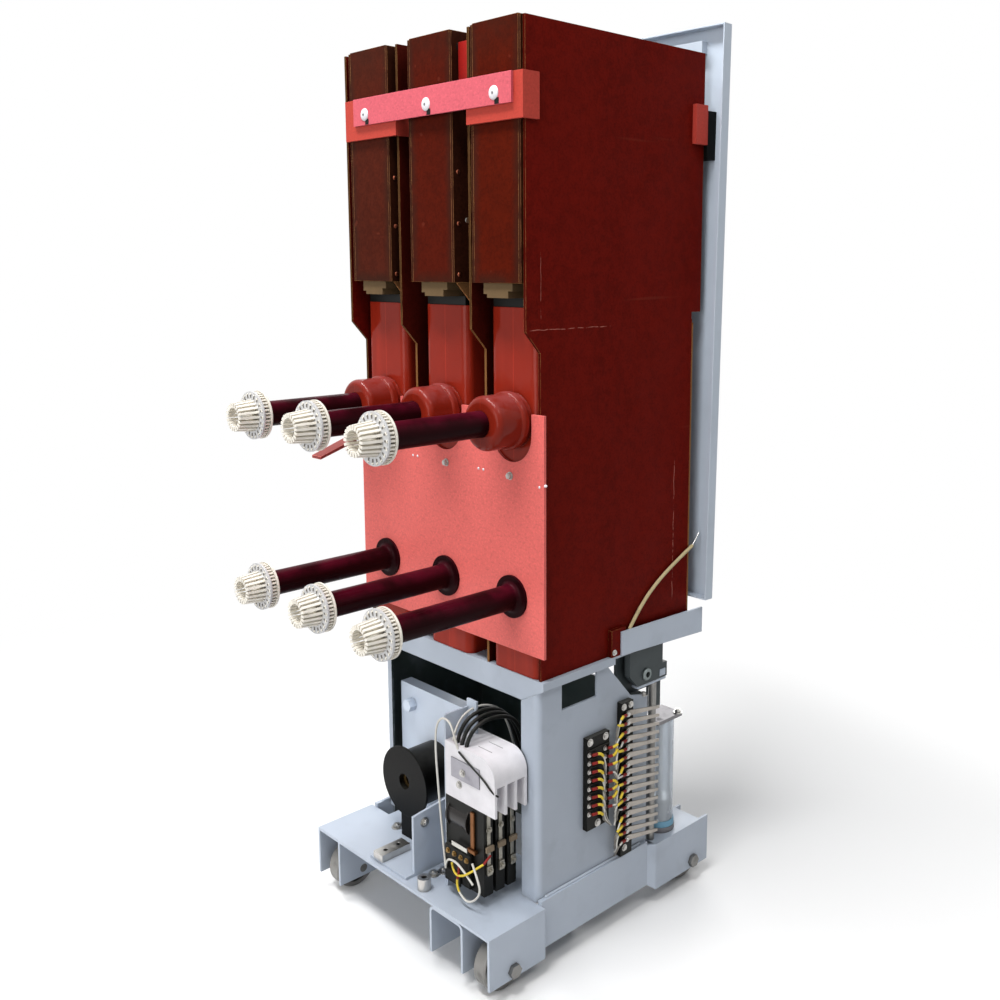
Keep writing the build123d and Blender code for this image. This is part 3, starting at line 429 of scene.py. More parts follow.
def glossy(name, face, seam, boss):
    """Glossy moulding with slight waviness, dust on its upper faces, a painted highlight along its parting
    line, and painted shade on its bosses and in its creases.
    """
    finish = Finish(name, specular=0.15)
    finish.fill(finish.shader, Specular_Tint=(1, 0.75, 0.72))
    base = finish.mottle(face, 0.78, 1.25, 8, 5)
    base = finish.over(base, shade(face, 1.9), finish.patches(20, 4, 0.5, 0.75, (1, 1, 0.12)), 0.35)
    settled = finish.times(finish.ramp(finish.facing(Z), 0.2, 0.9), finish.patches(30, 5, 0.3, 0.65))
    base = finish.over(base, PINK_DUST, settled, 0.35)
    # A lighter line down the parting line on rear faces: a painted highlight along the real parting line.
    line = finish.ramp(finish.away(X, seam), 0.0012, 0.0004)
    line = finish.times(line, finish.ramp(finish.facing(Y), -0.9, -0.99))
    base = finish.over(base, shade(face, 2.2), line, 0.45)
    # The bosses' outer parts are darker: painted shade.
    base = finish.over(base, shade(face, 0.4), finish.ramp(finish.coordinate(Y), boss, boss - 0.03), 0.5)
    base = finish.soiled(base, shade(face, 0.3), 0.05, 0.75, 0.2, 0.7)
    finish.rough(finish.noise(26), 0.3, 0.75, 0.07, 0.2)
    return finish.surface(base, finish.noise(18, 3), 0.0006, 0.003)


def wound_tube(name, face):
    """Varnished tube, streaked along its length, with a painted wine-red sheen on its upper side."""
    finish = Finish(name, specular=0.035)
    streak = finish.noise(30, 5, (1, 0.08, 1))
    base = finish.mix(streak, shade(face, 0.55), shade(face, 1.6))
    # The upward faces take a lighter wine colour: a painted sheen where light falls from above.
    top_sheen = finish.times(finish.ramp(finish.facing(Z), 0.0, 1.0), finish.patches(14, 4, 0.25, 0.7))
    base = finish.over(base, WINE_TOP_SHEEN, top_sheen, 0.75)
    finish.rough(streak, 0.3, 0.7, 0.24, 0.4)
    return finish.surface(base, streak, 0.0001, 0.001)


def metal(name, face, roughness=0.4, tarnish=0.4, grain=90, metallic=1.0):
    """Plain metal with fine grain, tarnish patches and painted shade in its gaps."""
    finish = Finish(name, metallic=metallic)
    base = finish.mottle(face, 0.82, 1.08, grain)
    patch = finish.patches(24, 5, 0.5, 0.72)
    base = finish.over(base, shade(face, 0.5), patch, tarnish)
    base = finish.soiled(base, shade(face, 0.12), 0.01, 0.8, 0.15, 0.85)
    finish.rough(patch, 0.0, 1.0, roughness, roughness + 0.25)
    return finish.surface(base, finish.noise(grain * 3, 2), 0.0001, 0.0006)


def plated_fingers(name, silver, ring, ring_rear, ring_front):
    """Silver plating on the fingers, a greyer pressed ring in front of them, painted shade in the gaps
    between.
    """
    finish = Finish(name, metallic=0.15)
    base = finish.mottle(silver, 0.88, 1.08, 70)
    depth = finish.coordinate(Y)
    inside = finish.times(
        finish.math("GREATER_THAN", depth, ring_rear), finish.math("LESS_THAN", depth, ring_front))
    base = finish.over(base, finish.mottle(ring, 0.82, 1.1, 110, 3), inside)
    darkening = finish.patches(38, 5, 0.55, 0.75)
    base = finish.over(base, SILVER_STAIN, darkening, 0.25)
    # Painted shade in the gaps between the fingers.
    base = finish.soiled(base, FINGER_GAP_SHADE, 0.006, 0.6, 0.1, 0.35)
    finish.rough(darkening, 0.0, 1.0, 0.36, 0.6)
    return finish.surface(base, finish.noise(300, 2), 0.0001, 0.0007)


def moulded(name, face, roughness=0.45, dust=0.25, specular=0.2):
    """Moulded or enamelled block with a fine texture, dust on its upper faces and painted shade in its
    creases.
    """
    finish = Finish(name, roughness, specular=specular)
    base = finish.mottle(face, 0.8, 1.15, 30)
    settled = finish.times(finish.ramp(finish.facing(Z), 0.4, 1.0), finish.noise(40))
    base = finish.over(base, DUST, settled, dust)
    base = finish.soiled(base, shade(face, 0.35), 0.015, 0.8, 0.2, 0.5)
    return finish.surface(base, finish.noise(320, 2), 0.00012, 0.0012)


def clear_tube(name):
    """Clear moulded cylinder with a faint blue-grey tint and scuffs."""
    finish = Finish(name)
    finish.fill(finish.shader, Transmission_Weight=0.68, IOR=1.3)
    scuff = finish.patches(34, 5, 0.45, 0.75, (1, 1, 0.3))
    finish.rough(scuff, 0.0, 1.0, 0.08, 0.3)
    return finish.surface(finish.mix(scuff, CLEAR, SCUFFED))


def woven(name, face):
    """Braided sleeve: crossed threads along the piece's own length."""
    finish = Finish(name, roughness=0.8)
    thread = finish.node("ShaderNodeTexWave", wave_type="BANDS", bands_direction="DIAGONAL")
    finish.fill(thread, Vector=finish.local, Scale=240.0, Distortion=1.5)
    base = finish.mix(thread.outputs["Fac"], shade(face, 0.62), shade(face, 1.1))
    base = finish.over(base, HANDLED, finish.patches(26, 4, 0.5, 0.8), 0.4)
    return finish.surface(base, thread.outputs["Fac"], 0.0004)


# Plain finishes by name: recipe, setting or screen colour, share of it, the recipe's own settings
PLAIN = {
    "truck_paint": (painted, "paint", 1, {}),
    # The deck, side plates and front plate take the paint at 0.82 as painted shade; the front and left plates
    # also take painted shade on their inner side.
    "body_paint": (painted, "paint", 0.82, {}),
    "front_plate_paint": (painted, "paint", 0.82, {"inner": (Y, -1.0)}),
    "left_plate_paint": (painted, "paint", 0.82, {"inner": (X, 1.0)}),
    # The mechanism plate takes the paint at 1.4: painted light.
    "mechanism_paint": (painted, "paint", 1.4, {"grime_and_shade": 0.3}),
    "panel_paint": (painted, "panel", 1, {"grime_and_shade": 0.25}),
    "plated_steel": (metal, "steel", 1, {"roughness": 0.3, "tarnish": 0.35}),
    "rolled_steel": (metal, "steel", 0.48, {"roughness": 0.42, "tarnish": 0.5, "grain": 40}),
    "shaft_steel": (metal, "steel", 0.45, {"roughness": 0.36}),
    "brass": (metal, "brass", 1, {"roughness": 0.35, "tarnish": 0.3}),
    "rivet_copper": (metal, (150, 84, 62), 1, {}),
    "strap_copper": (metal, (126, 84, 52), 1, {}),
    "strap_zinc": (metal, (150, 146, 136), 1, {}),
    "lever_zinc": (metal, (122, 130, 130), 1, {"roughness": 0.45}),
    "finger_zinc": (metal, (158, 152, 145), 1, {"roughness": 0.36, "tarnish": 0.5}),
    "dashpot_zinc": (metal, (124, 122, 124), 1, {"roughness": 0.5}),
    "hood_plate_zinc": (metal, (164, 162, 170), 1, {"roughness": 0.45, "metallic": 0.3}),
    "strip_board": (fibre_board, "strip", 1, {"edge_share": 1.6}),
    "block_board": (fibre_board, "blocks", 1, {}),
    "spacer_board": (fibre_board, (150, 22, 17), 1, {}),
    "tube_varnish": (wound_tube, "tube", 1, {}),
    "tether_weave": (woven, "sleeve", 1, {}),
    "throat_clay": (moulded, "throat", 1, {"roughness": 0.7}),
    "white_enamel": (moulded, "hood", 1, {"roughness": 0.4, "dust": 0.0}),
    "cap_black": (moulded, "black", 0.8, {}),
    "black_moulding": (moulded, "black", 1, {"roughness": 0.38, "specular": 0.12}),
    "black_metal": (moulded, "black", 0.5, {"dust": 0.1, "specular": 0.06}),
    "spool_black": (moulded, "black", 0.35, {"roughness": 0.32, "dust": 0.12, "specular": 0.08}),
    "lead_black": (moulded, "black", 1, {"roughness": 0.36, "dust": 0.15}),
    "lever_grey": (moulded, (68, 75, 77), 1, {"roughness": 0.4}),
    "socket_grey": (moulded, (122, 120, 122), 1, {"roughness": 0.5}),
    "slot_shadow": (moulded, (112, 108, 102), 1, {"roughness": 0.6}),
    "seam_shadow": (moulded, (120, 118, 122), 1, {}),
    "horn_board": (moulded, (128, 112, 92), 1, {"roughness": 0.5}),
    "coil_lacquer": (moulded, (30, 26, 24), 1, {"roughness": 0.25, "dust": 0.3, "specular": 0.35}),
    "gasket_blue": (moulded, (122, 170, 196), 1, {"roughness": 0.4}),
    "sheath_red": (moulded, "wire_red", 1, {"dust": 0.1}),
    "sheath_yellow": (moulded, "wire_yellow", 1, {"dust": 0.1}),
    "sheath_white": (moulded, "wire_white", 1, {"dust": 0.1}),
    "sheath_grey": (moulded, "wire_grey", 1, {"dust": 0.1}),
}


def finish_named(name):
    """The material of a finish, made on first use where it is a plain one."""
    if name not in MADE:
        make, tint, share, settings = PLAIN[name]
        tint = getattr(finishes(), tint) if isinstance(tint, str) else srgb(*tint)
        make(name, shade(tint, share), **settings)
    return MADE[name]


def wear(mesh, finish):
    mesh.materials.clear()
    mesh.materials.append(finish_named(finish))


def dress(finish, *nodes):
    """Gives CAD nodes a finish."""
    for node in nodes:
        wear(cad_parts[node].data, finish)


# Meshes
def put(name, data):
    """A new object in the scene."""
    made = bpy.data.objects.new(name, data)
    bpy.context.scene.collection.objects.link(made)
    return made


def add_piece(name, mesh, finish):
    """Puts a finished mesh into the scene as a piece of the truck."""
    wear(mesh, finish)
    piece = put(name, mesh)
    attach(piece, TRUCK)
    return piece


def mesh_of(name, shape):
    """A mesh of an edited shape, which goes."""
    mesh = bpy.data.meshes.new(name)
    shape.to_mesh(mesh)
    shape.free()
    return mesh


def baked_mesh(source):
    """A plain mesh of an object with its curves or modifiers applied; the object itself goes."""
    bpy.context.view_layer.update()
    evaluated = source.evaluated_get(bpy.context.evaluated_depsgraph_get())
    mesh = bpy.data.meshes.new_from_object(evaluated)
    mesh.name = source.name
    bpy.data.objects.remove(source)
    return mesh


def smooth(mesh):
    mesh.polygons.foreach_set("use_smooth", [True] * len(mesh.polygons))


def cable(name, routes, radius, sides=3, steps=8):
    """A curve object with a round section along smooth routes."""
    data = bpy.data.curves.new(name, "CURVE")
    data.dimensions = "3D"
    data.bevel_depth = radius
    data.bevel_resolution = sides
    data.use_fill_caps = True
    data.resolution_u = steps
    for route in routes:
        spline = data.splines.new("NURBS")
        spline.points.add(len(route) - 1)
        for point, place in zip(spline.points, route):
            point.co = (*place, 1)
        spline.order_u = 3
        spline.use_endpoint_u = True
    return put(name, data)


def wires(name, routes, radius, finish):
    """Round wires along smooth routes, as one piece."""
    mesh = baked_mesh(cable(name, routes, radius))
    smooth(mesh)
    return add_piece(name, mesh, finish)


def prisms(name, blocks, finish, bevel=0.8):
    """Blocks, each from its low and high corner, with edges bevelled by millimetres, as one piece."""
    shape = bmesh.new()
    for low, high in blocks:
        low, high = Vector(low), Vector(high)
        made = bmesh.ops.create_cube(shape, size=1)["verts"]
        bmesh.ops.scale(shape, vec=high - low, verts=made)
        bmesh.ops.translate(shape, vec=(low + high) / 2, verts=made)
    bmesh.ops.bevel(shape, geom=shape.edges[:], offset=bevel * MM, segments=2, affect="EDGES")
    return add_piece(name, mesh_of(name, shape), finish)


def turned(name, outlines, finish, axis="Z", steps=40):
    """Turned pieces as one, each from its centre and its (radius, height) outline in millimetres."""
    swap = {"X": (2, 0, 1), "Y": (0, 2, 1), "Z": (0, 1, 2)}[axis]
    shape = bmesh.new()
    for center, outline in outlines:
        rings = []
        for step in range(steps):
            angle = 2 * math.pi * step / steps
            ring = []
            for radius, height in outline:
                local = (radius * math.cos(angle), radius * math.sin(angle), height)
                ring.append(shape.verts.new(offset(center, *(local[index] for index in swap))))
            rings.append(ring)
        for one, other in zip(rings, rings[1:] + rings[:1]):
            for index in range(len(outline)):
                follow = (index + 1) % len(outline)
                shape.faces.new((one[index], other[index], other[follow], one[follow]))
    bmesh.ops.remove_doubles(shape, verts=shape.verts, dist=0.01 * MM)
    bmesh.ops.recalc_face_normals(shape, faces=shape.faces)
    mesh = mesh_of(name, shape)
    smooth(mesh)
    mesh.set_sharp_from_angle(angle=math.radians(35))
    return add_piece(name, mesh, finish)


# Geometry node trees
class Recipe(Nodes):
    """A geometry node tree under construction, with named inputs."""

    def __init__(self, name, **inputs):
        super().__init__(bpy.data.node_groups.new(name, "GeometryNodeTree"))
        sockets = self.tree.interface
        sockets.new_socket("Geometry", in_out="OUTPUT", socket_type="NodeSocketGeometry")
        for label, kind in {"Geometry": "Geometry", **inputs, "Material": "Material"}.items():
            sockets.new_socket(label, in_out="INPUT", socket_type="NodeSocket" + kind)
        self.source = self.node("NodeGroupInput")

    def add(self, kind, settings=None, **inputs):
        made = self.node(kind, **(settings or {}))
        self.fill(made, **inputs)
        return made.outputs[0]

    def given(self, label):
        return self.source.outputs[label]

    def vector(self, **shares):
        return self.add("ShaderNodeCombineXYZ", **shares)

    def join(self, *parts):
        made = self.node("GeometryNodeJoinGeometry")
        for part in parts:
            self.feed(made.inputs[0], part)
        return made.outputs[0]

    def turn_to(self, vector, axis="Z"):
        return self.add("FunctionNodeAlignRotationToVector", {"axis": axis}, Vector=vector)

    def on_points(self, shape, points=None, **inputs):
        """A shape on every point, by default of the given geometry."""
        points = points or self.given("Geometry")
        return self.add("GeometryNodeInstanceOnPoints", Points=points, Instance=shape, **inputs)

    def finish(self, instances):
        whole = self.add("GeometryNodeRealizeInstances", Geometry=instances)
        whole = self.add("GeometryNodeSetMaterial", Geometry=whole, Material=self.given("Material"))
        self.feed(self.node("NodeGroupOutput").inputs[0], whole)
        return self.tree


def bolt_heads():
    """Washer, many-sided head and rounder end on every point, standing along an axis."""
    recipe = Recipe("bolt_heads", Washer="Float", Head="Float", Height="Float", Sides="Int", Axis="Vector")
    head, height = recipe.given("Head"), recipe.given("Height")
    thick = recipe.times(height, 0.3)
    stack = (
        (ROUND, recipe.given("Washer"), thick, recipe.times(thick, 0.5)),
        (recipe.given("Sides"), head, height, recipe.math("ADD", thick, recipe.times(height, 0.5))),
        (16, recipe.times(head, 0.55), recipe.times(height, 0.4),
         recipe.math("ADD", thick, recipe.times(height, 1.1))),
    )
    parts = []
    for sides, radius, depth, middle in stack:
        part = recipe.add("GeometryNodeMeshCylinder", Vertices=sides, Radius=radius, Depth=depth)
        parts.append(recipe.add("GeometryNodeTransform", Geometry=part, Translation=recipe.vector(Z=middle)))
    bolt = recipe.join(*parts)
    return recipe.finish(recipe.on_points(bolt, Rotation=recipe.turn_to(recipe.given("Axis"))))


def domed_heads():
    """Domed head on every point, standing along an axis."""
    recipe = Recipe("domed_heads", Radius="Float", Rise="Float", Axis="Vector")
    ball = recipe.add("GeometryNodeMeshUVSphere", Segments=20, Rings=10, Radius=recipe.given("Radius"))
    squash = recipe.vector(X=1, Y=1, Z=recipe.given("Rise"))
    dome = recipe.add("GeometryNodeTransform", Geometry=ball, Scale=squash)
    dome = recipe.add("GeometryNodeSetShadeSmooth", Geometry=dome)
    return recipe.finish(recipe.on_points(dome, Rotation=recipe.turn_to(recipe.given("Axis"))))


def ring_of_bars():
    """A ring of small bars round every point, about the Y axis."""
    recipe = Recipe("ring_of_bars", Count="Int", Ring="Float", Size="Vector", Twist="Float")
    circle = recipe.add("GeometryNodeMeshCircle", Vertices=recipe.given("Count"), Radius=recipe.given("Ring"))
    bar = recipe.add("GeometryNodeMeshCube", Size=recipe.given("Size"))
    bar = recipe.add("GeometryNodeTransform", Geometry=bar, Rotation=recipe.vector(Z=recipe.given("Twist")))
    outward = recipe.turn_to(recipe.add("GeometryNodeInputPosition"), "X")
    ring = recipe.on_points(bar, circle, Rotation=outward)
    ring = recipe.add("GeometryNodeRealizeInstances", Geometry=ring)
    ring = recipe.add("GeometryNodeTransform", Geometry=ring, Rotation=(math.radians(90), 0, 0))
    return recipe.finish(recipe.on_points(ring))


def weld_beads():
    """Overlapping beads along a line between two points."""
    recipe = Recipe("weld_beads", Count="Int", Start="Vector", End="Vector", Radius="Float")
    line = recipe.add(
        "GeometryNodeMeshLine", {"mode": "END_POINTS"}, Count=recipe.given("Count"),
        Start_Location=recipe.given("Start"), Offset=recipe.given("End"))
    bead = recipe.add("GeometryNodeMeshIcoSphere", Radius=recipe.given("Radius"), Subdivisions=2)
    bead = recipe.add("GeometryNodeSetShadeSmooth", Geometry=bead)
    return recipe.finish(recipe.on_points(bead, line))


def grow(name, recipe, points, finish, slot, **values):
    """Runs a tree on a set of points and adds the result as a piece."""
    mesh = bpy.data.meshes.new(name)
    mesh.from_pydata([tuple(point) for point in points], [], [])
    source = put(name, mesh)
    modifier = source.modifiers.new(name, "NODES")
    modifier.node_group = bpy.data.node_groups.get(recipe.__name__) or recipe()
    values["Material"] = finish_named(finish)
    for item in modifier.node_group.interface.items_tree:
        if item.in_out == "INPUT" and item.name in values:
            modifier[item.identifier] = values[item.name]
    return add_piece(name, baked_mesh(source), finish)


def bolts(name, points, axis, radius, finish="plated_steel", sides=6, height=0.75, washer=1.5):
    """Bolts of one head radius, with the head's height and the washer as shares of it."""
    return grow(name, bolt_heads, points, finish, "bright_steel", Washer=radius * washer, Head=radius,
                Height=radius * height, Sides=sides, Axis=axis)


def domes(name, points, axis, radius, rise, finish, slot):
    """Domed heads of one radius, with their rise as a share of it."""
    return grow(name, domed_heads, points, finish, slot, Radius=radius, Rise=rise, Axis=axis)


# Truck
class BREAKER_OT_truck(bpy.types.Operator):
    """Paints the truck and adds the weld beads along its rails"""

    bl_idname = "breaker.truck"
    bl_label = "Truck"

    bead_count = 90
    bead_margin = 0.02

    def execute(self, context):
        dress("truck_paint", "rear_base_plate", "front_base_plate", "wheel_cheeks", "rear_channel",
              "side_rails", "angle_bracket", "contactor_panel", "side_bar")
        # Body pieces in painted shade, the mechanism plate in painted light.
        dress("body_paint", "deck", "side_plate_right")
        dress("mechanism_paint", "mechanism_plate")
        dress("front_plate_paint", "front_plate")
        dress("left_plate_paint", "side_plate_left")
        low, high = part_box("side_rails")
        radius = hardware().weld_radius
        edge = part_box("side_plate_right")[1].x + radius * 0.6
        height = high.z + radius * 0.2
        for side, sign in (("left", -1), ("right", 1)):
            grow("rail_weld_" + side, weld_beads, [(0, 0, 0)], "truck_paint", "grey_paint",
                 Count=self.bead_count, Radius=radius, Start=(sign * edge, low.y + self.bead_margin, height),
                 End=(sign * edge, high.y - self.bead_margin, height))
        return {"FINISHED"}


class BREAKER_OT_wheels(bpy.types.Operator):
    """Gives the wheels, axle bolts and shaft worn steel"""

    bl_idname = "breaker.wheels"
    bl_label = "Wheels"

    def execute(self, context):
        wheels = [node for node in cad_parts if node.startswith("wheel_") and node != "wheel_cheeks"]
        dress("rolled_steel", *wheels)
        dress("shaft_steel", "axle_bolts", "shaft")
        dress("plated_steel", "base_fittings")
        return {"FINISHED"}


class BREAKER_OT_base_bolts(bpy.types.Operator):
    """Adds the bolts on the rear base plate and the angle bracket"""

    bl_idname = "breaker.base_bolts"
    bl_label = "Base bolts"

    base_spots = ((-0.169, -0.105), (-0.166, -0.083), (0.043, -0.167), (0.0485, -0.145))
    angle_spot = (-0.171, 0.257)
    angle_share = 0.85

    def execute(self, context):
        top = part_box("rear_base_plate")[1].z
        radius = hardware().bolt_radius
        bolts("base_bolts", [(*spot, top) for spot in self.base_spots], UP, radius)
        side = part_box("angle_bracket")[1].x
        bolts("angle_bolt", [(side, *self.angle_spot)], RIGHT, radius * self.angle_share)
        return {"FINISHED"}


# Insulation
class BREAKER_OT_barriers(bpy.types.Operator):
    """Gives the barriers varnished laminate, with the scratches of the right one"""

    bl_idname = "breaker.barriers"
    bl_label = "Barriers"

    # How far the painted shade reaches into the gaps between the barriers and the chutes
    gap_reach = 0.14
    bolt_place = (-0.118, 1.507)
    bolt_radius = 0.0036

    def execute(self, context):
        paint = finishes()
        dull, pale = shade(paint.cut_edge, 0.22), shade(paint.cut_edge, 0.7)
        # The inner barriers' faces are a darker copy of the barrier colour: painted shade between the chutes.
        laminate("barrier_laminate", paint.inner_barrier, dull, X, low_edge=pale, shade_reach=self.gap_reach)
        dress("barrier_laminate", "barrier_inner_left", "barrier_inner_right")
        laminate("left_barrier_laminate", paint.barrier, dull, X, shade_reach=self.gap_reach)
        dress("left_barrier_laminate", "barrier_outer_left")
        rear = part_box("barrier_outer_right")[0].y
        scratches = (
            (Y, Z, rear, rear + 0.24, 1.303, 0.0012),
            (Z, Y, 1.312, 1.46, -0.078, 0.0008),
            (Z, Y, 0.69, 1.01, 0.323, 0.0014),
        )
        laminate("right_barrier_laminate", paint.barrier, shade(paint.barrier, 0.7), X, scratches)
        dress("right_barrier_laminate", "barrier_outer_right", "corner_bracket")
        laminate("front_sheet_laminate", paint.barrier, paint.cut_edge, Y)
        dress("front_sheet_laminate", "front_sheet")
        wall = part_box("barrier_inner_right")[0].x
        bolts("barrier_bolt", [(wall, *self.bolt_place)], LEFT, self.bolt_radius)
        return {"FINISHED"}


class BREAKER_OT_chutes(bpy.types.Operator):
    """Finishes the arc chutes, with their rivets, throats, caps and sloping deflectors"""

    bl_idname = "breaker.chutes"
    bl_label = "Arc chutes"

    pole_tints = ((0.92, 1.7, 2.6), (1.0, 1.0, 1.0), (1.05, 0.95, 0.7))
    rivet_heights = (1.404, 1.502, 1.600)
    rivet_setback = 0.013
    rivet_rise = 0.45
    cap_bolt_radius = 0.005
    hole_radius = 0.0085
    hole_rise = 0.06
    deflector_slope = 0.85
    deflector_thickness = 0.0016

    def execute(self, context):
        paint = finishes()
        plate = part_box("arc_chute_left")[0].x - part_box("chute_side_plates")[0].x
        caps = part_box("support_caps")
        rivets = {"right": [], "left": []}
        cap_spots = []
        for pole, tint in zip(POLES, self.pole_tints):
            low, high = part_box("arc_chute_" + pole)
            face = tuple(channel * share for channel, share in zip(paint.chute, tint))
            # Bounds of the face, which darkens towards its rims
            darkening = ((low.x + high.x) / 2, (high.x - low.x) / 2, low.z, high.z)
            laminate("chute_face_" + pole, face, shade(face, 0.8), Y, darkening=darkening)
            dress("chute_face_" + pole, "arc_chute_" + pole)
            for side, x in (("right", high.x + plate), ("left", low.x - plate)):
                rivets[side] += [(x, low.y + self.rivet_setback, z) for z in self.rivet_heights]
            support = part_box("pole_support_" + pole)
            middle = (support[0].x + support[1].x) / 2
            cap_spots.append(offset((middle, caps[0].y, caps[1].z), -45, 12, 0))
        laminate("chute_side", paint.chute_side, shade(paint.chute_side, 1.3), X)
        dress("chute_side", "chute_side_plates")
        dress("throat_clay", "throat_blocks")
        dress("cap_black", "support_caps")
        for side, axis in (("right", RIGHT), ("left", LEFT)):
            domes("chute_rivets_" + side, rivets[side], axis, hardware().rivet_radius, self.rivet_rise,
                  "rivet_copper", "bright_steel")
        bolts("cap_bolts", cap_spots, UP, self.cap_bolt_radius)
        self.deflectors(plate)
        self.spacer(plate)
        return {"FINISHED"}

    def deflectors(self, plate):
        """Thin boards that slope from each chute's lower right edge to the next barrier."""
        shape = bmesh.new()
        for pole, wall in zip(POLES, ("barrier_inner_left", "barrier_inner_right", "barrier_outer_right")):
            low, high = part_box("arc_chute_" + pole)
            near, far = high.x + plate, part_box(wall)[0].x
            top = low.z - 0.5 * MM
            foot = top - self.deflector_slope * (far - near)
            thick, edge = self.deflector_thickness, far - 0.3 * MM
            section = ((near, top), (edge, foot), (edge, foot - thick), (near, top - thick))
            depths = (low.y + 5 * MM, high.y - 50 * MM)
            corners = [shape.verts.new((x, y, z)) for y in depths for x, z in section]
            for face in ((0, 1, 2, 3), (7, 6, 5, 4), (0, 4, 5, 1), (1, 5, 6, 2), (2, 6, 7, 3), (3, 7, 4, 0)):
                shape.faces.new([corners[index] for index in face])
        bmesh.ops.recalc_face_normals(shape, faces=shape.faces)
        paint = finishes()
        laminate("deflector_board", shade(paint.chute, 0.7), shade(paint.cut_edge, 0.22), Y)
        name = "chute_deflectors"
        add_piece(name, mesh_of(name, shape), "deflector_board")

    def spacer(self, plate):
        """Red spacer between the middle chute and the next barrier, and a black dome above the strip that
        stands for a hole as painted shade.
        """
        low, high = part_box("arc_chute_center")
        near = (high.x + plate, low.y, high.z)
        far = (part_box("barrier_inner_right")[0].x, low.y, high.z)
        bar = offset(near, 0.4, 16, -125), offset(far, -0.4, 28, -22)
        prisms("chute_spacer", [bar], "spacer_board")
        # A black dome stands for the hole: painted shade.
        domes("chute_hole", [offset(near, 0, 21, -30)], RIGHT, self.hole_radius, self.hole_rise,
              "black_moulding", "black")


class BREAKER_OT_retaining_bar(bpy.types.Operator):
    """Finishes the retaining strip and its blocks, with three pale screws above black blocks that stand for
    open slots as painted shade
    """

    bl_idname = "breaker.retaining_bar"
    bl_label = "Retaining bar"

    screw_xs = (-0.184, 0.020, 0.217)
    screw_height = 1.7297
    screw_rise, socket_rise = 0.28, 0.3
    socket_share, socket_place = 0.22, 0.27
    slot_half = 6
    slot_shift = 8
    slot_depth = 0.6

    def execute(self, context):
        dress("strip_board", "bar_strip")
        dress("block_board", "bar_blocks", "clip_blocks")
        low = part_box("bar_strip")[0]
        radius = hardware().bar_screw_radius
        spots = [(x, low.y, self.screw_height) for x in self.screw_xs]
        domes("bar_screws", spots, REAR, radius, self.screw_rise, "white_enamel", "white_mould")
        crown = low.y - radius * self.socket_place
        domes("bar_screw_sockets", [(x, crown, z) for x, y, z in spots], REAR, radius * self.socket_share,
              self.socket_rise, "socket_grey", "bright_steel")
        # Black blocks stand for the open slots below the screws: painted shade.
        slots = []
        for x, y, z in spots:
            foot, top = (x, y, low.z), (x, y, z - radius * 0.7)
            slots.append((offset(foot, self.slot_shift - self.slot_half, -self.slot_depth, 0.3),
                          offset(top, self.slot_shift + self.slot_half, self.slot_depth, 0)))
        prisms("bar_slots", slots, "black_moulding", bevel=0.3)
        return {"FINISHED"}


class BREAKER_OT_poles(bpy.types.Operator):
    """Finishes the pole supports, tubes and plated contacts"""

    bl_idname = "breaker.poles"
    bl_label = "Poles"

    boss_length = 0.09
    ring_place = 0.020
    # name, finish, slot, count, place before the tubes' ends, ring radius, bar size, twist
    rings = (
        ("ring_slots", "slot_shadow", "black", 20, ring_place, 0.0402, (0.0100, 0.0036, 0.0010), 0.0),
        ("ring_hooks", "plated_fingers", "silver", 20, ring_place, 0.0432, (0.0030, 0.0060, 0.0024), 0.35),
        ("finger_springs", "plated_fingers", "silver", 40, 0.0105, 0.0448, (0.0030, 0.0034, 0.0110), 0.0),
    )

    def execute(self, context):
        paint = finishes()
        for pole in POLES:
            low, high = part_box("pole_support_" + pole)
            middle = (low.x + high.x) / 2
            glossy("pole_moulding_" + pole, paint.moulding, middle, low.y + self.boss_length)
            dress("pole_moulding_" + pole, "pole_support_" + pole)
        dress("tube_varnish", "primary_tubes")
        tube_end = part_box("primary_tubes")[0].y
        face = tube_end - self.ring_place
        plated_fingers("plated_fingers", paint.silver, paint.ring, face - 0.5 * MM, face + 4.5 * MM)
        centers = []
        for row in ("upper", "lower"):
            for pole in POLES:
                node = f"{row}_contact_{pole}"
                dress("plated_fingers", node)
                low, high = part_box(node)
                centers.append(((low.x + high.x) / 2, (low.z + high.z) / 2))
        for name, finish, slot, count, place, ring, size, twist in self.rings:
            grow(name, ring_of_bars, [(x, tube_end - place, z) for x, z in centers], finish, slot,
                 Count=count, Ring=ring, Size=size, Twist=twist)
        return {"FINISHED"}


class BREAKER_OT_sheet(bpy.types.Operator):
    """Finishes the lower sheet, with its nuts and pale ties"""

    bl_idname = "breaker.sheet"
    bl_label = "Lower sheet"

    nuts = ((-0.200, 1.018), (0.005, 1.018), (0.201, 1.017))
    ties = ((-0.108, 1.019), (-0.092, 1.019), (0.107, 1.019), (0.122, 1.019), (0.283, 1.006))
    edge_tie = 1.010
    sheet_thickness = 0.006
    tie_radius, tie_rise = 0.0028, 0.6
    edge_tie_radius, edge_tie_rise = 0.0030, 1.9

    def execute(self, context):
        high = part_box("lower_sheet")[1]
        rear = high.y - self.sheet_thickness
        # The sheet's flap, bent out behind its plane, is darker: painted shade.
        fibre_board("sheet_board", finishes().sheet, 1.3, bent=rear - 4 * MM)
        dress("sheet_board", "lower_sheet")
        bolts("sheet_nuts", [(x, rear, z) for x, z in self.nuts], REAR, hardware().screw_radius,
              height=0.9, washer=1.3)
        domes("sheet_ties", [(x, rear, z) for x, z in self.ties], REAR, self.tie_radius, self.tie_rise,
              "white_enamel", "white_mould")
        middle = rear + self.sheet_thickness / 2
        domes("sheet_edge_tie", [(high.x, middle, self.edge_tie)], RIGHT, self.edge_tie_radius,
              self.edge_tie_rise, "white_enamel", "white_mould")
        return {"FINISHED"}


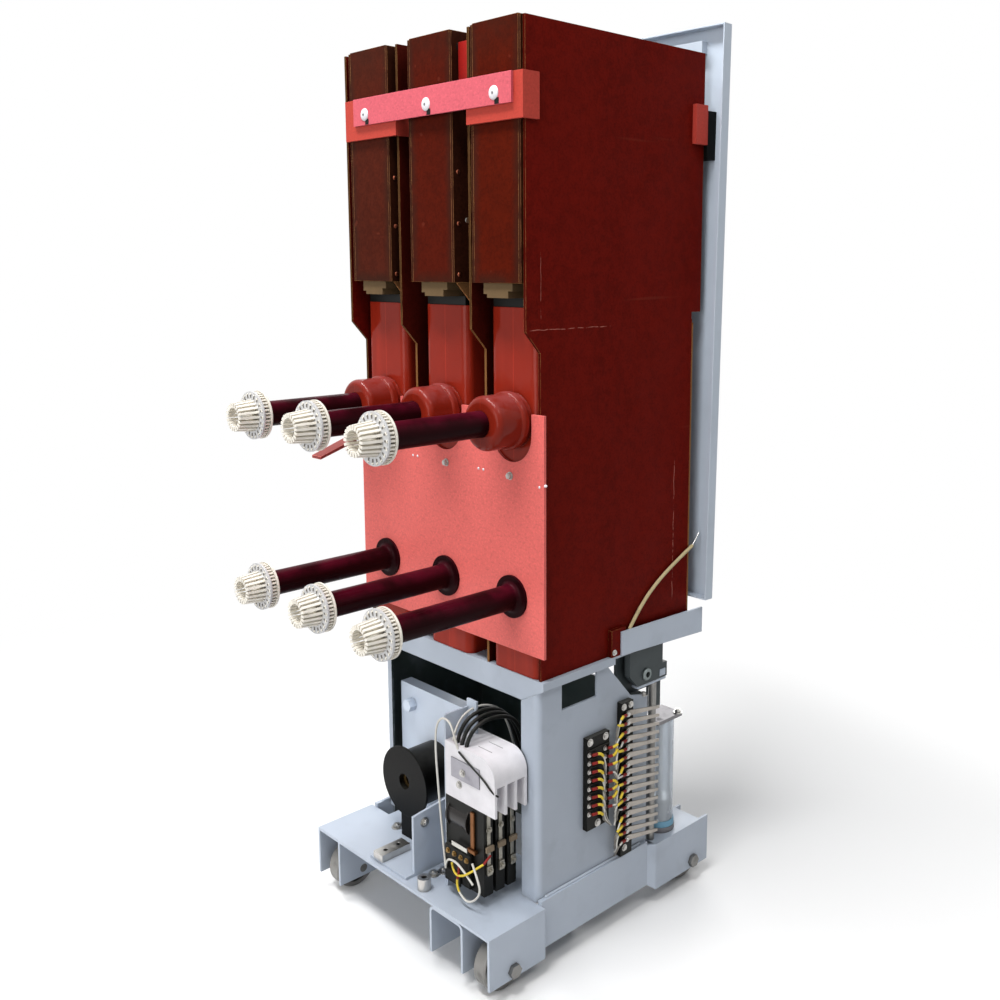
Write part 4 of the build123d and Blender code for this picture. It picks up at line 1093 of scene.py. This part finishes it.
# Front and right side
class BREAKER_OT_front_panel(bpy.types.Operator):
    """Paints the front panel, its brackets and the crank"""

    bl_idname = "breaker.front_panel"
    bl_label = "Front panel"

    def execute(self, context):
        dress("panel_paint", "front_panel")
        dress("black_metal", "panel_brackets")
        dress("lever_grey", "crank_bracket")
        return {"FINISHED"}


class BREAKER_OT_side_fittings(bpy.types.Operator):
    """Adds the corner screw, the crank's trim and the woven tether with its hook"""

    bl_idname = "breaker.side_fittings"
    bl_label = "Side fittings"

    corner_radius, nut_radius = 0.0042, 0.006
    boss_outline = ((6.5, 0), (13.5, 0), (13.5, 4), (11.5, 6), (6.5, 6))
    tether_ys = (0.175, 0.210, 0.258, 0.316, 0.384)
    tether_heights = (0.048, 0.090, 0.128, 0.160, 0.190)
    tether_gap = 0.006
    hook_y, hook_height = 0.408, 0.216
    hook_radius = 0.0014

    def execute(self, context):
        low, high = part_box("corner_bracket")
        spot = offset((high.x, low.y, low.z), 0, 8, 10)
        bolts("corner_screw", [spot], RIGHT, self.corner_radius)
        self.crank()
        self.tether()
        return {"FINISHED"}

    def crank(self):
        """Pivot boss, pale lower lip and face plate of the lever above the shaft."""
        low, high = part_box("shaft")
        pivot = (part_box("crank_bracket")[1].x, (low.y + high.y) / 2, high.z)
        boss = offset(pivot, 0, -31, 22), self.boss_outline
        turned("crank_boss", [boss], "lever_zinc", axis="X")
        lip = block(pivot, (-18, -58, -6), (1, 36, -0.2))
        plate = block(pivot, (-0.2, 14, 4), (1.6, 34, 20))
        prisms("crank_trim", [lip, plate], "truck_paint")
        seat = (pivot[X], pivot[Y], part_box("front_plate")[1].z)
        bolts("crank_nut", [offset(seat, -4, -34, 0)], UP, self.nut_radius)

    def tether(self):
        """Woven tether from the corner bracket, with the steel wire at its end."""
        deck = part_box("deck")[1].z
        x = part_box("barrier_outer_right")[1].x + self.tether_gap
        route = [(x, y, deck + height) for y, height in zip(self.tether_ys, self.tether_heights)]
        tether = cable("tether", [route], wiring().tether_radius, sides=4, steps=12)
        tether.data.materials.append(finish_named("tether_weave"))
        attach(tether, TRUCK)
        near, eye = Vector(route[-1]), Vector((x, self.hook_y, deck + self.hook_height))
        hook = wires("tether_wire", [[near, near.lerp(eye, 0.5), eye]], self.hook_radius,
                     "plated_steel")
        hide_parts("tether_cable")


class BREAKER_OT_secondary(bpy.types.Operator):
    """Finishes the secondary contacts and wires them to the terminal block"""

    bl_idname = "breaker.secondary"
    bl_label = "Secondary contacts"

    # name, node, radius, and places in millimetres from the low (+) or high (-) edges
    edge_screws = (
        ("strip_screws", "secondary_strip", 0.0050, ((6, -9), (-8, -9), (12, 17))),
        ("block_screws", "terminal_block", 0.0056, ((8, -9), (-12, -9), (32, 9))),
    )
    row_count = 8
    row_span = (0.2925, 0.4235)
    row_radius = 0.0038
    finger_count = 16
    finger_first = 0.037
    finger_pitch = 0.019
    finger_radius = 0.0046

    def execute(self, context):
        dress("black_moulding", "terminal_block", "secondary_strip")
        dress("finger_zinc", "secondary_fingers")
        for name, node, radius, places in self.edge_screws:
            low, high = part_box(node)
            spots = [offset((high.x, (low if y > 0 else high).y, (low if z > 0 else high).z), 0, y, z)
                     for y, z in places]
            bolts(name, spots, RIGHT, radius, sides=ROUND, height=0.5)
        self.routes = {"red": [], "yellow": [], "white": [], "grey": []}
        self.block_rows(*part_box("terminal_block"))
        self.strip_rows(*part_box("secondary_strip"))
        thin, thick = wiring().wire_radius, wiring().sleeve_radius
        for kind, radius, slot in (("red", thick, "block_red"), ("yellow", thick * 0.9, "sleeve_cream"),
                                   ("white", thin, "white_mould"), ("grey", thin, "black")):
            wires("terminal_wires_" + kind, self.routes[kind], radius, "sheath_" + kind)
        return {"FINISHED"}

    def block_rows(self, low, high):
        """Two columns of screws and ribs on the block, each screw with a sleeved wire."""
        first, last = self.row_span
        step = (last - first) / (self.row_count - 1)
        heights = [first + index * step for index in range(self.row_count)]
        columns = (low.y + 6 * MM, high.y - 13 * MM)
        bolts("terminal_screws", [(high.x, y, z) for y in columns for z in heights], RIGHT, self.row_radius,
              sides=ROUND, height=0.6)
        ribs = []
        for z in heights:
            ribs.append((offset((high.x, low.y, z + step / 2), -1, 3, -1.1),
                         offset((high.x, high.y, z + step / 2), 4.5, -3, 1.1)))
        prisms("terminal_ribs", ribs, "black_moulding", bevel=0.4)
        for index, z in enumerate(heights):
            tip, other = (offset((high.x, y, z), 5, 4, 0) for y in columns)
            self.long_wire(index, tip, low.z, high.y)
            self.short_wire(index, other)

    def long_wire(self, index, tip, foot, edge):
        """A wire that drops into the bundle beside the block."""
        sway = 2 * math.sin(index * 2.3)
        bundle = 30 + 1.4 * (index % 4)
        sleeve, bend = offset(tip, 3, 12, 0), offset(tip, 6, 26, sway - 7)
        self.routes["red"].append([tip, offset(tip, 2, 6, 0), sleeve])
        self.routes["yellow"].append([sleeve, offset(tip, 7, 20, 1), bend])
        self.routes["white" if index % 3 else "grey"].append([
            bend, offset(tip, 6, bundle + 2, -22),
            offset((tip[X], tip[Y], tip[Z] * 0.5 + 0.13), 3, bundle + sway, 0),
            offset((tip[X], tip[Y], foot), 2, bundle + 4, 12), offset((tip[X], edge, foot), -4, 6, -12)])

    def short_wire(self, index, tip):
        """A wire that curls away to the strip."""
        sleeve, curl = offset(tip, 3, 10, 0), offset(tip, 6, 22, 12 * math.sin(index * 1.3))
        self.routes["red"].append([tip, offset(tip, 2, 5, 0), sleeve])
        self.routes["yellow" if index % 4 else "white"].append([sleeve, offset(tip, 8, 15, 2), curl])
        self.routes["white"].append([curl, offset(tip, 2, 26, -22), offset(tip, -2, 24, -52)])

    def strip_rows(self, low, high):
        """A ring terminal, a red sleeve and a curled wire for each finger on the strip."""
        face = high.x + 2.5 * MM
        screws = []
        for index in range(self.finger_count):
            z = low.z + self.finger_first + index * self.finger_pitch
            root, edge = (face, high.y, z), (face, low.y, z)
            screws.append(offset(root, 1.5, -21.5, 0))
            sway = 7 * math.sin(index * 1.9)
            side = -14 - 5 * (index % 3)
            drop = 18 + 11 * (index % 4)
            sleeve, turn = offset(root, 4, -40, 1), offset(edge, 8, side, sway)
            self.routes["red"].append([offset(root, 2, -27, 0), offset(root, 3, -34, 0), sleeve])
            self.routes["yellow" if index % 4 else "white"].append([sleeve, offset(edge, 10, -9, 5), turn])
            self.routes["white" if index % 2 else "grey"].append([
                turn, offset(edge, 7, side - 6, -drop * 0.3), offset(edge, 3, sway * 0.7 - 22, -drop),
                offset(edge, -8, -14, -drop - 12)])
        bolts("finger_screws", screws, RIGHT, self.finger_radius, sides=ROUND, height=0.6, washer=1.25)


class BREAKER_OT_dashpot(bpy.types.Operator):
    """Finishes the clear dashpot, with its rod, piston, gasket and nuts"""

    bl_idname = "breaker.dashpot"
    bl_label = "Dashpot"

    wall = 3
    rod_radius = 7
    nut_radius = 0.0075

    def execute(self, context):
        clear_tube("dashpot_clear")
        dress("dashpot_clear", "dashpot_cylinder")
        dress("dashpot_zinc", "dashpot_frame")
        low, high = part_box("dashpot_cylinder")
        foot = ((low.x + high.x) / 2, (low.y + high.y) / 2, low.z)
        outer, tall = (high.x - low.x) / 2 / MM, (high.z - low.z) / MM
        bore = outer - self.wall - 0.5
        rod = [(0, 64), (self.rod_radius, 64), (self.rod_radius, tall - 0.4), (0, tall - 0.4)]
        piston = [(0, 39), (bore - 3, 39), (bore, 42), (bore, 60), (bore - 3, 63), (0, 63)]
        turned("dashpot_rod", [(foot, rod), (foot, piston)], "plated_steel")
        gasket = [(outer + 0.3, 0.2), (outer + 3, 0.2), (outer + 3, 11), (outer + 1.8, 14), (outer + 0.3, 14)]
        turned("dashpot_gasket", [(foot, gasket)], "gasket_blue")
        plate_low, plate_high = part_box("dashpot_frame")
        spots = [offset(plate_high, -12, -10, 0), offset((foot[X], plate_low.y, plate_high.z), 0, 9, 0)]
        bolts("dashpot_nuts", spots, UP, self.nut_radius)
        return {"FINISHED"}


# Pieces inside the truck
class BREAKER_OT_spool(bpy.types.Operator):
    """Blackens the spool and lines its bore with brass"""

    bl_idname = "breaker.spool"
    bl_label = "Spool"

    bore, bush = 10.5, 17.8

    def execute(self, context):
        dress("spool_black", "spool")
        low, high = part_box("spool")
        radius = (high.x - low.x) / 2
        start, end = 12, (high.y - low.y) / MM - 4
        outline = [(self.bore, start), (self.bush, start), (self.bush, end), (self.bore, end)]
        center = (low.x + radius, low.y, high.z - radius)
        turned("spool_bush", [(center, outline)], "brass", axis="Y")
        return {"FINISHED"}


class BREAKER_OT_contactor(bpy.types.Operator):
    """Finishes the contactor, with its cover plate, straps, terminals and leads"""

    bl_idname = "breaker.contactor"
    bl_label = "Contactor"

    pole_count = 3
    hood_screw_radius, clamp_radius, relay_radius = 0.0055, 0.0046, 0.0040
    coil_outline = ((0, 8), (36, 8), (36, 12), (32, 13), (32, 67), (36, 68), (36, 72), (0, 72))
    relay_spots = (18, 38, 58, 76)
    # points of a lead over the hood: place in millimetres, and share of the lead's rise
    arch = ((0, 10, -1, 0), (0, 16, 0, 0.5), (0, 46, 0, 1.05), (4, 96, 0, 1.1), (10, 146, 0, 0.5),
            (14, 166, -60, 0))
    # loose wires in millimetres: X and Z in the frame, Y from behind the hood
    loose = {
        "white": (
            ((112, -10, 200), (100, -4, 230), (87, 0, 290), (78, 0, 375), (72, 0, 440), (74, 0, 490),
             (92, 0, 517), (120, 0, 516), (133, 0, 490), (139, 4, 462)),
            ((196, -10, 244), (216, -14, 222), (224, -12, 193), (206, -16, 168), (180, -17, 158),
             (163, -17, 172)),
            ((112, -10, 200), (120, -16, 226), (150, -17, 234), (178, -16, 222), (200, -12, 200)),
        ),
        "yellow": (
            ((132, -10, 220), (146, -17, 204), (172, -17, 208), (200, -14, 230), (217, 2, 246)),
            ((163, -17, 172), (154, -17, 184), (158, -17, 198)),
        ),
        "red": (
            ((158, -17, 198), (163, -17, 212), (158, -13, 226)),
            ((217, 2, 246), (222, 8, 256), (222, 16, 262)),
        ),
    }

    def execute(self, context):
        dress("white_enamel", "contactor_hood")
        dress("black_moulding", "contactor_body")
        hood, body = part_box("contactor_hood"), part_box("contactor_body")
        self.cover(*hood, *body)
        self.straps(*body)
        self.coil(*body)
        self.leads(*hood)
        return {"FINISHED"}

    def cover(self, low, high, body_low, body_high):
        """Grey plate with its screws on the hood's rear side, and the seams between its poles."""
        prisms("hood_plate", [block(low, (20, -2, 46), (108, -0.1, 88))], "hood_plate_zinc")
        bolts("hood_screws", [offset(low, 57, -2, 64), offset(low, 44, 0, 34)], REAR, self.hood_screw_radius,
              sides=ROUND, height=0.6)
        seams = []
        for index in range(1, self.pole_count):
            y = body_low.y + index * (body_high.y - body_low.y) / self.pole_count
            start, end = (low.x, y, high.z), (high.x, y, high.z)
            seams.append((offset(start, 70, -0.6, -0.8), offset(end, -40, 0.6, 0.4)))
        prisms("hood_seams", seams, "seam_shadow", bevel=0.1)

    def straps(self, low, high):
        """Metal straps, cross bars and clamps down the body's three poles."""
        pitch = (high.y - low.y + 8 * MM) / self.pole_count
        tall = (high.z - low.z) / MM
        straps, bars, clamps = [], [], []
        for index in range(self.pole_count):
            foot = offset((high.x, low.y + (index + 0.5) * pitch, low.z), 0, -4, 0)
            straps += [block(foot, (-0.5, -4.5, 58), (2.2, 4.5, tall - 6)),
                       block(foot, (-0.5, -6.5, 46), (6, 6.5, 66))]
            bars.append(block(foot, (2.2, -10, 96), (7.5, 10, 108)))
            clamps += [offset(foot, 6, 0, 56), offset(foot, 2.2, 0, 142)]
        prisms("contactor_straps", straps, "strap_zinc", bevel=0.5)
        prisms("contactor_bars", bars, "horn_board", bevel=0.7)
        bolts("contactor_clamps", clamps, RIGHT, self.clamp_radius, "strap_zinc")

    def coil(self, low, high):
        """Coil, its copper strap, a pale tag and the relay under it on the body's rear side."""
        tall = (high.z - low.z) / MM
        coil = offset(low, 0, 27, tall - 40), self.coil_outline
        turned("contactor_coil", [coil], "coil_lacquer", axis="X")
        strap = block(low, (82, -5, 94), (93, -0.2, tall - 8))
        elbow = block(low, (76, -9, 86), (100, -0.2, 94))
        prisms("contactor_copper", [strap, elbow], "strap_copper")
        tag = block(low, (30, -11, 83), (78, -9.5, 92))
        prisms("contactor_tag", [tag], "sheath_white", bevel=0.4)
        relay = block(low, (6, -10, 6), (86, -0.2, 78))
        foot = block(low, (10, -14, 2), (60, -10, 30))
        prisms("contactor_relay", [relay, foot], "black_moulding", bevel=1.5)
        bolts("relay_screws", [offset(low, x, -10, 66) for x in self.relay_spots], REAR, self.relay_radius,
              "brass", sides=ROUND)

    def leads(self, low, high):
        """Black leads that arch over the hood, one across its side, and the loose control wires."""
        top = (low.x, low.y, high.z)
        arches = []
        for index in range(self.pole_count + 1):
            spread, rise = 14 + 14 * index, 50 - 4 * index
            arches.append([offset(top, x + spread, y, z + share * rise) for x, y, z, share in self.arch])
        pale, *black = arches
        wires("contactor_leads", black, wiring().lead_radius, "lead_black")
        across = [offset(top, 46, -2.4, -10), offset(top, 78, -2.4, -26), offset(low, 120, -2.4, 74),
                  offset(low, 150, -2.4, 52), offset((high.x, low.y, low.z), 2, 7.6, 46)]
        thin = wiring().wire_radius
        wires("hood_side_lead", [across], thin, "lead_black")
        for kind, share, slot in (("white", 1.2, "white_mould"), ("yellow", 1.25, "sleeve_cream"),
                                  ("red", 1.25, "block_red")):
            routes = [[offset((0, low.y, 0), x, y - 5, z) for x, y, z in route] for route in self.loose[kind]]
            if kind == "white":
                routes.insert(0, pale)
            wires("control_wires_" + kind, routes, thin * share, "sheath_" + kind)


# Studio
class BREAKER_OT_stage(bpy.types.Operator):
    """Sets the pale floor, soft lamps and the camera"""

    bl_idname = "breaker.stage"
    bl_label = "Studio"

    sensor_width = 36
    aim = Vector((0, 0, 1.0))
    lamps = {
        "key": ((0.8, -5.5, 2.0), (3.6, 3.6)),
        "top": ((-0.3, -1.4, 5.0), (3.8, 0.6)),
        "side": ((3.2, -0.2, 4.8), (2.4, 1.2)),
        "front": ((-3.4, 4.6, 3.0), (3.4, 3.4)),
    }
    floor_radius = 9.0
    paper_reach, glow_reach = 0.7, 2.6

    def execute(self, context):
        settings = context.scene.breaker_stage
        context.scene.view_settings.view_transform = "Standard"
        self.camera(context, settings)
        for name, (place, size) in self.lamps.items():
            self.lamp(name + "_lamp", place, size, getattr(settings, name + "_power"))
        self.world(context, settings)
        self.floor(settings)
        return {"FINISHED"}

    def camera(self, context, settings):
        data = bpy.data.cameras.new("camera")
        data.lens = settings.camera_lens
        data.sensor_width = self.sensor_width
        data.shift_x, data.shift_y = settings.camera_shift
        camera = put("camera", data)
        camera.location = settings.camera_place
        camera.rotation_euler = settings.camera_turn
        context.scene.camera = camera

    def lamp(self, name, place, size, watts):
        data = bpy.data.lights.new(name, "AREA")
        data.shape = "RECTANGLE"
        data.size, data.size_y = size
        data.energy = watts
        lamp = put(name, data)
        lamp.location = place
        lamp.rotation_euler = (self.aim - Vector(place)).to_track_quat("-Z", "Y").to_euler()

    def world(self, context, settings):
        """White where the camera sees it, dimmer as light on surfaces."""
        world = context.scene.world = bpy.data.worlds.new("studio")
        world.use_nodes = True
        nodes = Nodes(world.node_tree)
        strength = nodes.node("ShaderNodeMapRange")
        nodes.fill(strength, Value=nodes.seen(), To_Min=settings.ambient, To_Max=1.0)
        nodes.fill(world.node_tree.nodes["Background"], Color=(1, 1, 1), Strength=strength.outputs[0])

    def floor(self, settings):
        """Pale paper that turns to plain white away from the breaker."""
        shape = bmesh.new()
        bmesh.ops.create_circle(shape, cap_ends=True, segments=96, radius=self.floor_radius)
        floor = put("floor", mesh_of("floor", shape))
        finish = Finish("floor_paper", roughness=0.9, specular=0.1)
        plain = finish.mix(finish.noise(2, 2), shade(settings.floor, 0.99), settings.floor)
        finish.surface(finish.mix(finish.seen(), settings.bounce, plain))
        far = finish.node("ShaderNodeVectorMath", operation="LENGTH")
        finish.feed(far.inputs[0], finish.local)
        spread = finish.ramp(far.outputs["Value"], self.paper_reach, self.glow_reach)
        share = finish.times(spread, finish.seen())
        blend = finish.node("ShaderNodeMixShader")
        glow = finish.node("ShaderNodeEmission")
        for socket, source in zip(blend.inputs, (share, finish.shader.outputs[0], glow.outputs[0])):
            finish.feed(socket, source)
        finish.fill(finish.output, Surface=blend.outputs[0])
        wear(floor.data, "floor_paper")


STEPS = (
    BREAKER_OT_truck, BREAKER_OT_wheels, BREAKER_OT_base_bolts, BREAKER_OT_barriers, BREAKER_OT_chutes,
    BREAKER_OT_retaining_bar, BREAKER_OT_poles, BREAKER_OT_sheet, BREAKER_OT_front_panel,
    BREAKER_OT_side_fittings, BREAKER_OT_secondary, BREAKER_OT_dashpot, BREAKER_OT_spool,
    BREAKER_OT_contactor, BREAKER_OT_stage,
)


class BREAKER_PT_sidebar(bpy.types.Panel):
    """Lists the breaker's dressing steps"""

    bl_label = "Breaker"
    bl_idname = "BREAKER_PT_sidebar"
    bl_space_type = "VIEW_3D"
    bl_region_type = "UI"
    bl_category = "Breaker"

    def draw(self, context):
        for step in STEPS:
            self.layout.operator(step.bl_idname)


SETTINGS = {
    "breaker_finishes": BreakerFinishes,
    "breaker_hardware": BreakerHardware,
    "breaker_wiring": BreakerWiring,
    "breaker_stage": BreakerStage,
}


def register():
    for group in (*SETTINGS.values(), *STEPS, BREAKER_PT_sidebar):
        bpy.utils.register_class(group)
    for name, group in SETTINGS.items():
        setattr(bpy.types.Scene, name, bpy.props.PointerProperty(type=group))


def unregister():
    for name in SETTINGS:
        delattr(bpy.types.Scene, name)
    for group in reversed((*SETTINGS.values(), *STEPS, BREAKER_PT_sidebar)):
        bpy.utils.unregister_class(group)
    MADE.clear()


def main():
    register()
    for step in STEPS:
        family, name = step.bl_idname.split(".")
        getattr(getattr(bpy.ops, family), name)()


if __name__ == "__main__":
    main()
